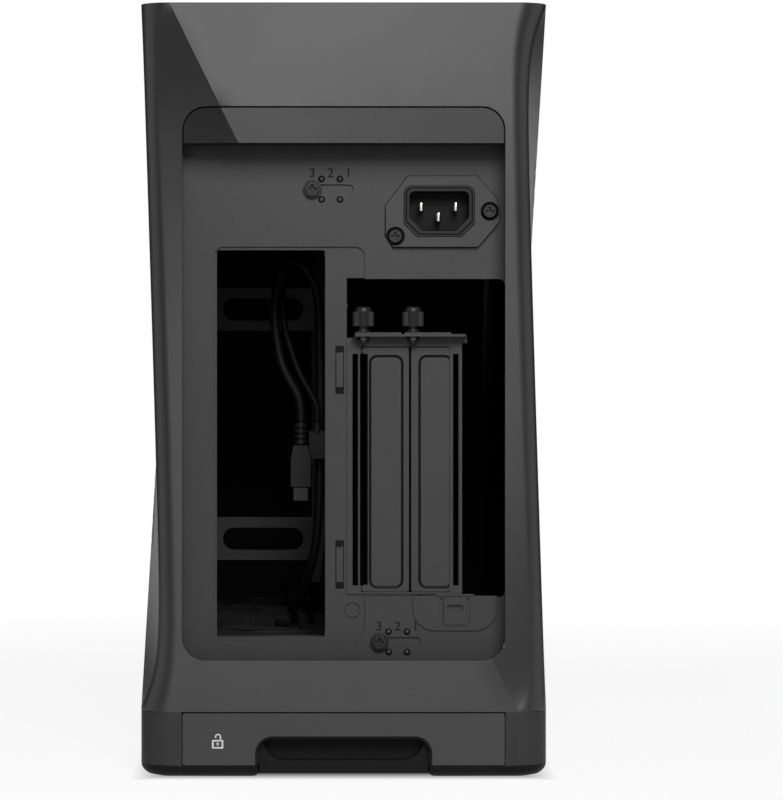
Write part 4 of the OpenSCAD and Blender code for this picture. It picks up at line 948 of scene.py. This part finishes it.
def makeTopBoard():
    # Slatted wooden board with rounded edges, and the filter mesh under its slots
    wood = wallBlock("topBoard", case["wall"] + board["gap"], board["z"])
    slots = grow("slots", trees["slots"], Rows=1, RowStep=100, Depth=board["cutDepth"],
                 Columns=int((case["depth"] - board["slotEnds"]) / board["slotPitch"]),
                 Pitch=board["slotPitch"], Length=board["slotLength"],
                 Width=board["slotWidth"])
    middle = sum(board["z"]) / 2 * mm
    slots.data.transform(Matrix(((0, -1, 0, 0), (1, 0, 0, 0), (0, 0, 1, middle), (0, 0, 0, 1))))
    carve(wood, slots)
    soften(wood, 0.7, 3, 40)
    handOver(wood, "wood", "top_panel")
    x, y = board["mesh"]
    sheet = brick("topDustSheet", (-x, x), (-y, y), board["meshZ"])
    handOver(sheet, "black", body="top_board", material="topMesh")


makeShell()
print("shell ready")
makeTrim()
for make in (makeVentPanel, makeDustSheet):
    make(-1, "left")
    make(1, "right")
makeTopBoard()
print("trim, vent grilles and top board ready")


# Sheet parts and the rest, from their CAD solids with rounded edges

edged = {
    "floor_plate": ("floorPlate", "steel", 0.2),
    "rear_panel": ("rearPanel", "steel", 0.2),
    "anchor_plate": ("anchorPlate", "steel", 0.15),
    "front_frame": ("frontFrame", "steel", 0.2),
    "top_bracket": ("topBracket", "steel", 0.2),
    "fan_frame_rear": ("rearFanFrame", "fan", 0.4),
    "fan_frame_front": ("frontFanFrame", "fan", 0.4),
    "fan_rotor_rear": ("rearFanRotor", "fan", 0.3),
    "fan_rotor_front": ("frontFanRotor", "fan", 0.3),
    "spine_plate": ("spinePlate", "steel", 0.2),
    "card_frame": ("cardFrame", "steel", 0.15),
    "supply_bracket": ("supplyBracket", "steel", 0.2),
    "riser_socket": ("riserSocket", "black", 0.2),
    "power_button": ("powerButton", "plastic", 0.3),
    "cable_grommet": ("cableGrommet", "rubber", 0.4),
}
# Painted shade: the floor plate and top bracket, inside the case, take darker copies of the steel
insideShade = {"floor_plate": "floor", "top_bracket": "inner"}
edgeShade = {"nodes": ("rear_panel", "anchor_plate", "spine_plate", "card_frame"),
             "y": -155, "step": 1.3, "area": 30}
button = {"innerY": 177.1, "clearance": 0.3}


def makeEdged(node, name, slotName, edge):
    piece = soften(nodeCopy(node, name), edge)
    material = insideShade.get(node)

    def isShadedEdge(face, *centre):
        # Painted shade: the narrow edges and steps in the rear face take a dark finish, as shade in
        # the creases
        deep = [piece.data.vertices[i].co.y / mm for i in face.vertices]
        return (max(deep) < edgeShade["y"] and max(deep) - min(deep) < edgeShade["step"]
                and abs(face.normal.y) < 0.9 and face.area < edgeShade["area"] * mm * mm)

    if node in edgeShade["nodes"]:
        twoTone(piece, "steel", "inner", isShadedEdge)
        material = "own"
    # Painted shade: the front frame takes a dark finish, darker still above 130 mm
    if node == "front_frame":
        twoTone(piece, "inner", "floor", lambda face, x, y, z: z > 130)
        material = "own"
    if node == "power_button":
        # Its inner end keeps clear of the board when it is pressed
        for vertex in piece.data.vertices:
            if vertex.co.y < button["innerY"] * mm:
                vertex.co.y += button["clearance"] * mm
    handOver(piece, slotName, node, material=material)


for node, settings in edged.items():
    makeEdged(node, *settings)


latch = {"seam": 0.2, "top": 26.2, "endX": 64.5}


def makeLatch():
    # Painted shade: the hollow for the fingers and the lip below it take a dark finish
    piece = nodeCopy("base_latch", "latchFace")
    for vertex in piece.data.vertices:
        # A little more seam round the face
        if vertex.co.z > latch["top"] * mm:
            vertex.co.z -= latch["seam"] * mm
        if abs(vertex.co.x) > latch["endX"] * mm:
            vertex.co.x -= math.copysign(latch["seam"] * mm, vertex.co.x)
    soften(piece, 0.3)
    twoTone(piece, "plastic", "scoop", lambda face, x, y, z:
            abs(x) < 34.8 and z < 21.5 and (y > -182.6 or z < 7.3))
    return handOver(piece, "plastic", "base_latch", material="own")


makeLatch()
print("sheet parts ready")


# Base

base = {"edgeTop": 5.5, "rim": 0.4, "drawIn": 7, "radius": 13, "steps": 6}


def makeBase():
    # The solid's lower edge is stepped: its corners move onto one smooth quarter ellipse
    piece = addObject("baseTray", nodes["base_tray"].data.copy())
    tall = base["edgeTop"] - base["rim"]

    def drawn(z):
        f = 1 - (z - base["rim"]) / tall
        return base["drawIn"] * (1 - math.sqrt(max(0, 1 - f * f)))

    stepped = [drawn(base["rim"] + tall * (i + 0.5) / base["steps"])
               for i in range(base["steps"])] + [0]
    cornerX, cornerY = halfW - base["radius"], halfD - base["radius"]
    for vertex in piece.data.vertices:
        x, y, z = (value / mm for value in vertex.co)
        if z > base["edgeTop"] + 0.01:
            continue
        away = Vector((max(0, abs(x) - cornerX), max(0, abs(y) - cornerY)))
        if away.length < 1:
            continue
        at = base["radius"] - away.length
        if min(abs(at - value) for value in stepped) > 0.03:
            continue
        away = away.normalized() * (base["radius"] - drawn(z))
        if away.x > 0:
            vertex.co.x = math.copysign(cornerX + away.x, x) * mm
        if away.y > 0:
            vertex.co.y = math.copysign(cornerY + away.y, y) * mm
    cleaned(piece)
    soften(piece, 0.35, 2, 32)
    # Painted shade: the faces of the lower edge that turn down take a dark finish
    twoTone(piece, "tray", "scoop", lambda face, x, y, z:
            z < base["edgeTop"] - 0.2 and face.normal.z < 0.3)
    return handOver(piece, "plastic", "base_tray", material="own")


makeBase()
print("base ready")


# Slot covers

cover = {
    "slot_cover_left": {"name": "slotCoverLeft", "x": 17.1, "left": 10, "right": 25.1},
    "slot_cover_right": {"name": "slotCoverRight", "x": 37.42, "left": 30.02, "right": 43.4},
    "faceY": -160.7, "sunkX": (-6.8, 7.5), "sunkZ": (75.4, 171.4), "sunk": 0.6,
    "slope": 1.1, "radius": 3.4, "seamZ": (174.35, 174.65), "seam": 0.4,
}


def makeCover(node):
    # The sunk panel of the solid is filled, and cut again with sloping sides
    c, left, right = (cover[node][key] for key in ("x", "left", "right"))
    y = cover["faceY"]
    z = cover["sunkZ"]
    s = cover["slope"]
    sides = [c + value for value in cover["sunkX"]]
    piece = nodeCopy(node, cover[node]["name"])
    filler = brick("filler", (left, right), (y, y + 0.85), (z[0] - 0.6, z[1] + 0.6))
    carve(piece, filler, "UNION")
    outer = roundedPoints((sides[0] - 0.03, sides[1] + 0.03), (z[0] - 0.03, z[1] + 0.03),
                          cover["radius"])
    inner = roundedPoints((sides[0] + s, sides[1] - s), (z[0] + s, z[1] - s),
                          cover["radius"] - s + 0.1)
    rings = [[(p[0], deep, p[1]) for p in ring]
             for ring, deep in ((outer, y - 0.02), (inner, y + cover["sunk"]))]
    carve(piece, loft("sunkPanel", rings, True))
    carve(piece, brick("seam", (left - 1, right + 1), (y - 0.1, y + cover["seam"]),
                       cover["seamZ"]))
    soften(piece, 0.15, 2, 20)

    # Painted shade: the sloping sides of the sunk panel and the seam above it take the dark shade
    # finish
    def isShaded(face, x, deep, up):
        facing = abs(face.normal.y)
        slope = (0.2 < facing < 0.97 and sides[0] - 0.15 < x < sides[1] + 0.2
                 and z[0] - 0.2 < up < z[1] + 0.2)
        return (y - 0.05 < deep < y + 0.65 and (up > 174.3 or slope)
                and not (facing > 0.97 and deep < y + 0.3))

    twoTone(piece, "steel", "paintedShade", isShaded)
    return handOver(piece, "steel", node, material="own")


makeCover("slot_cover_left")
makeCover("slot_cover_right")
print("slot covers ready")


# Mains inlet

inlet = {
    "x": 40.5, "z": 230.2, "plateY": -163.6, "rimY": -164.4, "shade": 0.3,
    "flange": ((-23.2, -9.9), (-20.2, -14.5), (14.6, -14.5), (23, -4.7), (23.7, 0.2),
               (22.4, 5.1), (14.1, 14.4), (-14.1, 14.4), (-23.2, 2.5)),
    "socket": {"x": -1.35, "wide": 12.4, "high": 8.4, "cut": 5.4, "radius": 2.2},
    "screws": ((59.9, 230.2), (21.2, 220)), "recess": 3.9, "backY": -137, "rimBackY": -139,
    "hollowY": -147.6, "floorY": (-153.5, -147), "bladeY": (-162.5, -131), "blade": (1, 2),
    "cuts": (((60.1, 234), (62.9, 235.3)), ((61.8, 226.7), (63.3, 225.6)),
             ((25.2, 219.8), (25.2, 215.4)), ((21, 224), (17, 224))),
    "blades": ((-8.7, 2), (5.5, 2), (-1.6, -2.3)),
}


def socketSolid(name, more, y):
    # Lower corners cut off, upper corners round
    size = inlet["socket"]
    w, h, cut = size["wide"] + more, size["high"] + more, size["cut"]
    r = size["radius"] + more * 0.5
    points = [(-w, cut - h), (cut - w, -h), (w - cut, -h), (w, cut - h)]
    points += arc(w - r, h - r, r, 0, 90, 6) + arc(r - w, h - r, r, 90, 180, 6)
    return prism(name, [(inlet["x"] + size["x"] + p[0], inlet["z"] + p[1]) for p in points], y)


def flangeSolid(name, scaleX, scaleZ, y):
    return prism(name, [(inlet["x"] + x * scaleX, inlet["z"] + z * scaleZ)
                        for x, z in inlet["flange"]], y)


def makeInletPlate():
    face = inlet["plateY"]
    plate = flangeSolid("inletFlange", 1, 1, (face, case["panelY"]))
    carve(plate, socketSolid("tool", 2.2, (-170, -150)))
    r = inlet["recess"]
    for centre in inlet["screws"]:
        carve(plate, lathe("tool", ((r, 1.5), (r, -2)), centre, face, 32))
    for start, end in inlet["cuts"]:
        start, end = Vector(start), Vector(end)
        wide = (end - start).orthogonal().normalized() * 0.2
        corners = [start + wide, end + wide, end - wide, start - wide]
        carve(plate, prism("tool", corners, (-165, face + 0.5)))
    soften(plate, 0.25)
    flatten(plate)
    # Painted shade: a thin plate a little larger than the flange, behind it, shows as a dark
    # outline round it
    shade = flangeSolid("shade", 1.016, 1.024, (case["panelY"] - inlet["shade"], case["panelY"]))
    carve(shade, socketSolid("tool", 2.2, (-170, -150)))
    merged([plate, shade])
    # Painted shade: the flange's sides and the outline plate take the dark shade finish
    twoTone(plate, "steel", "paintedShade", lambda side, x, y, z:
            abs(side.normal.y) < 0.93 or y > face + 0.3)
    return handOver(plate, "steel", "inlet_housing", material="own")


def makeInlet():
    makeInletPlate()
    x, z, front = inlet["x"], inlet["z"], inlet["rimY"]
    housing = socketSolid("inletSocket", 2.15, (front + 0.6, inlet["backY"]))
    carve(housing, socketSolid("tool", 1.15, (-170, front + 1.4)))
    rim = socketSolid("rim", 1.1, (front, inlet["rimBackY"]))
    for piece, edge in ((housing, 0.3), (rim, 0.35)):
        carve(piece, socketSolid("tool", -0.35, (-170, inlet["hollowY"])))
        soften(piece, edge)
    handOver(merged([housing, rim]), "black", "inlet_housing")
    # The socket's floor is black plastic and takes the near-black finish that serves as painted
    # shade in the hollows
    ground = socketSolid("inletSocketFloor", -0.2, inlet["floorY"])
    handOver(ground, "black", "inlet_housing", material="scoop")
    wide, high = inlet["blade"]
    blades = [soften(brick("inletBlades", (x + bx - wide, x + bx + wide), inlet["bladeY"],
                           (z + bz - high, z + bz + high)), 0.55, 1)
              for bx, bz in inlet["blades"]]
    handOver(merged(blades), "blades", "inlet_blades")


makeInlet()
print("inlet ready")


# Screws

screws = {
    "position": {"head": (3.4, 3.2, 1.6), "flange": (3.8, 0.7), "shank": (1.75, 7.2),
                 "cross": (3.6, 0.9, 1), "sides": 6},
    "inlet": {"head": (3.3, 2.6, 1.4), "flange": (3.3, 0.3), "shank": (1.6, 6),
              "cross": (3.4, 0.7, 1.2)},
    "rearBracket": {"head": (2.9, 2.2, 1.2), "flange": (2.9, 0.3), "shank": (1.45, 4),
                    "cross": (3, 0.7, 1.2)},
    "frontBracket": {"head": (2.9, 2.2, 1.1), "flange": (2.9, 0.3), "shank": (1.45, 4),
                     "cross": (3, 0.7, 1.2)},
    "floor": {"head": (3, 2.2, 1.2), "flange": (3, 0.4), "shank": (1.45, 3.2),
              "cross": (3, 0.7, 1.2)},
    "fan": {"head": (3.6, 3, 1.4), "flange": (3.6, 0.4), "shank": (2.1, 4.5),
            "cross": (4, 0.7, 1.2)},
}
screwPlaces = {
    "position": ((-12.8, 239.35), (14.7, 53.6)), "positionY": -162, "nutY": -158.8,
    "bracketX": (-60, 60), "rearBracket": (-161, 263.1), "frontBracket": (169, 249.1),
    "inletY": -162.4, "floor": (64, 133, 28.1), "fan": (52.5, 61, 27.1),
}
turns = {"back": (math.pi / 2, 0, 0), "front": (-math.pi / 2, 0, 0), "up": (0, 0, 0),
         "down": (math.pi, 0, 0)}


def growScrews(name, kind, points, turn):
    sizes = screws[kind]
    names = ("HeadRadius", "TopRadius", "HeadHeight", "FlangeRadius", "FlangeHeight",
             "ShankRadius", "ShankLength", "CrossLength", "CrossWidth", "CrossDepth")
    values = sizes["head"] + sizes["flange"] + sizes["shank"] + sizes["cross"]
    return grow(name, trees["screws"], points, Sides=sizes.get("sides", 32),
                Turn=turns[turn], **dict(zip(names, values)))


def makeScrews():
    spots = screwPlaces["position"]
    y = screwPlaces["positionY"]
    heads = growScrews("positionScrews", "position", [(x, y, z) for x, z in spots], "back")
    nuts = [lathe("nut", ((3.2, 0), (3.2, 2.4)), at, screwPlaces["nutY"], 6) for at in spots]
    collars = [lathe("collar", ((2.6, 0), (2.6, 0.8)), at, y, 32) for at in spots]
    merged([heads] + nuts + collars)
    soften(heads, 0.15, 2, 40)
    handOver(heads, "steel", "position_screws", material="blackened")
    y = screwPlaces["inletY"]
    sockets = growScrews("inletScrews", "inlet", [(x, y, z) for x, z in inlet["screws"]], "back")
    bracket = merged([
        growScrews("bracketScrews", kind, [(x, *screwPlaces[kind]) for x in
                                           screwPlaces["bracketX"]], turn)
        for kind, turn in (("rearBracket", "back"), ("frontBracket", "front"))])
    ways = (-1, 1)
    x, y, z = screwPlaces["floor"]
    floor = growScrews("floorScrews", "floor", [(i * x, j * y, z) for i in ways
                                                for j in ways], "up")
    x, y, z = screwPlaces["fan"]
    fan = growScrews("fanScrews", "fan", [(i * x, k * y + j * x, z) for i in ways
                                          for j in ways for k in ways], "down")
    for piece, node in ((sockets, "inlet_screws"), (bracket, "bracket_screws"),
                        (floor, "floor_screws"), (fan, "fan_screws")):
        handOver(soften(piece, 0.12, 2, 40), "blackened", node)


makeScrews()
print("screws ready")


# Thumbscrews

thumb = {"y": -165.8, "z": 180.6, "left": 8.05, "right": 28.37, "radius": 4.37, "ribs": 28}


def makeThumbscrew(x, side):
    z = thumb["z"]
    r = thumb["radius"] - 0.5
    profile = ((1, -4.8), (1.6, -4.1), (1.6, 0.1), (2.6, 0.1), (2.6, 1), (1.75, 1),
               (1.75, 2.4), (r, 2.4), (r, 8.5), (3.3, 8.7), (3.2, 9.4), (2.9, 10.1),
               (2.3, 10.45))
    piece = turned(side + "Thumbscrew", profile, (x, thumb["y"], z))
    for wide, deep in ((1.9, 0.45), (0.45, 1.9)):
        carve(piece, brick("cross", (x - wide, x + wide),
                           (thumb["y"] - deep, thumb["y"] + deep), (z + 9.4, z + 12)))
    soften(piece, 0.14, 2, 25)
    ribs = grow("ribs", trees["knurl"], [(x, thumb["y"], z + 5.45)], Ribs=thumb["ribs"],
                RibWidth=0.5, Radius=4, Height=5.7)
    merged([piece, ribs])
    return handOver(piece, "blackened", "thumbscrew_" + side, material="screw")


makeThumbscrew(thumb["left"], "left")
makeThumbscrew(thumb["right"], "right")
print("thumbscrews ready")


# Printed and stamped marks, the stamped ones as painted shade

marks = {
    "digitHeight": 3.8, "panelY": -161.03, "upper": ((-12.9, -5.4, 1.95), 246.1),
    "lower": ((14.5, 22.1, 29.5), 60.1), "lock": (-50.95, 12.3), "lockY": (-183.05, -182.9),
    "tabs": ((155.3, 175), (75.4, 95.2)), "tabX": (-3.4, 0.15), "tabY": (-159.85, -159.7),
}


def makeDigit(letter, x, z):
    curve = bpy.data.curves.new("digit", "FONT")
    curve.body = letter
    curve.extrude = 0.01
    curve.offset = 0.012
    thing = addObject("digit", curve)
    graph = bpy.context.evaluated_depsgraph_get()
    mesh = bpy.data.meshes.new_from_object(thing.evaluated_get(graph))
    remove(thing)
    xs, ys, _ = zip(*(v.co for v in mesh.vertices))
    size = marks["digitHeight"] * mm / (max(ys) - min(ys))
    middle = Vector(((max(xs) + min(xs)) / 2, (max(ys) + min(ys)) / 2, 0))
    mesh.transform(Matrix.Translation(-middle))
    mesh.transform(Matrix.Diagonal((size, size, mm, 1)))
    mesh.transform(Matrix(((1, 0, 0, x * mm), (0, 0, -1, marks["panelY"] * mm),
                           (0, 1, 0, z * mm), (0, 0, 0, 1))))
    return addObject("positionDigits", mesh)


def makeDigits():
    pieces = [makeDigit(letter, x, z) for centres, z in (marks["upper"], marks["lower"])
              for letter, x in zip("321", centres)]
    # Painted shade: the stamped digits are flat marks in a dark finish in place of the shade in
    # their pressed relief
    return handOver(merged(pieces), "steel", body="chassis", material="digitShade")


def makePadlock():
    # Open padlock: a framed body with a keyhole, and a shackle that stands open on its left
    x, z = marks["lock"]
    y = marks["lockY"]
    body = prism("openPadlock", roundedPoints((x - 2.3, x + 2.3), (z, z + 3.5), 0.35, 4), y)
    carve(body, prism("tool", roundedPoints((x - 1.6, x + 1.6), (z + 0.6, z + 2.85), 0.15, 3),
                      (-190, -180)))
    keyhole = lathe("keyhole", ((0.55, 0), (0.55, 0.15)), (x, z + 1.85), y[0], 20)
    slot = prism("slot", [(x - 0.2, z + 1), (x + 0.2, z + 1), (x + 0.3, z + 1.8),
                          (x - 0.3, z + 1.8)], y)
    bow = [(x + 1.4, z + 3.2)] + arc(x + 0.15, z + 4.75, 1.25, 0, 180, 16) + [
        (x - 1.1, z + 4.3), (x - 0.55, z + 4.3)] + arc(x + 0.15, z + 4.75, 0.7, 180, 0, 16) + [
        (x + 0.85, z + 3.2)]
    merged([body, keyhole, slot, prism("shackle", bow, y)])
    return handOver(body, "plastic", body="latch", material="whiteInk")


def makeTabWindows():
    # Painted shade: flat dark marks for the shaded windows round the two pressed tabs of the
    # spine's rear plate
    x, y = marks["tabX"], marks["tabY"]
    windows = []
    for low, high in marks["tabs"]:
        window = brick("tabWindows", x, y, (low, high))
        carve(window, brick("tool", (x[0] + 0.4, x[1] - 0.4), (-165, -155),
                            (low + 2.8, high - 2.5)))
        windows.append(window)
    return handOver(merged(windows), "steel", body="spine", material="floor")


makeDigits()
makePadlock()
makeTabWindows()
print("marks ready")


# The remaining CAD nodes

kept = {
    "rubber_feet": "rubber", "dust_filter": "black", "front_io_board": "board",
    "usb_c_port": "bright", "usb_a_ports": "bright", "audio_jack": "black",
    "power_switch": "black", "standoffs": "brass", "spine_rivet": "steel",
    "guide_screws": "blackened", "riser_board": "board", "bracket_bolts": "bright",
}
for node, slotName in kept.items():
    for entry in nodes[node].material_slots:
        entry.material = finish[slotName]

low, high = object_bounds()
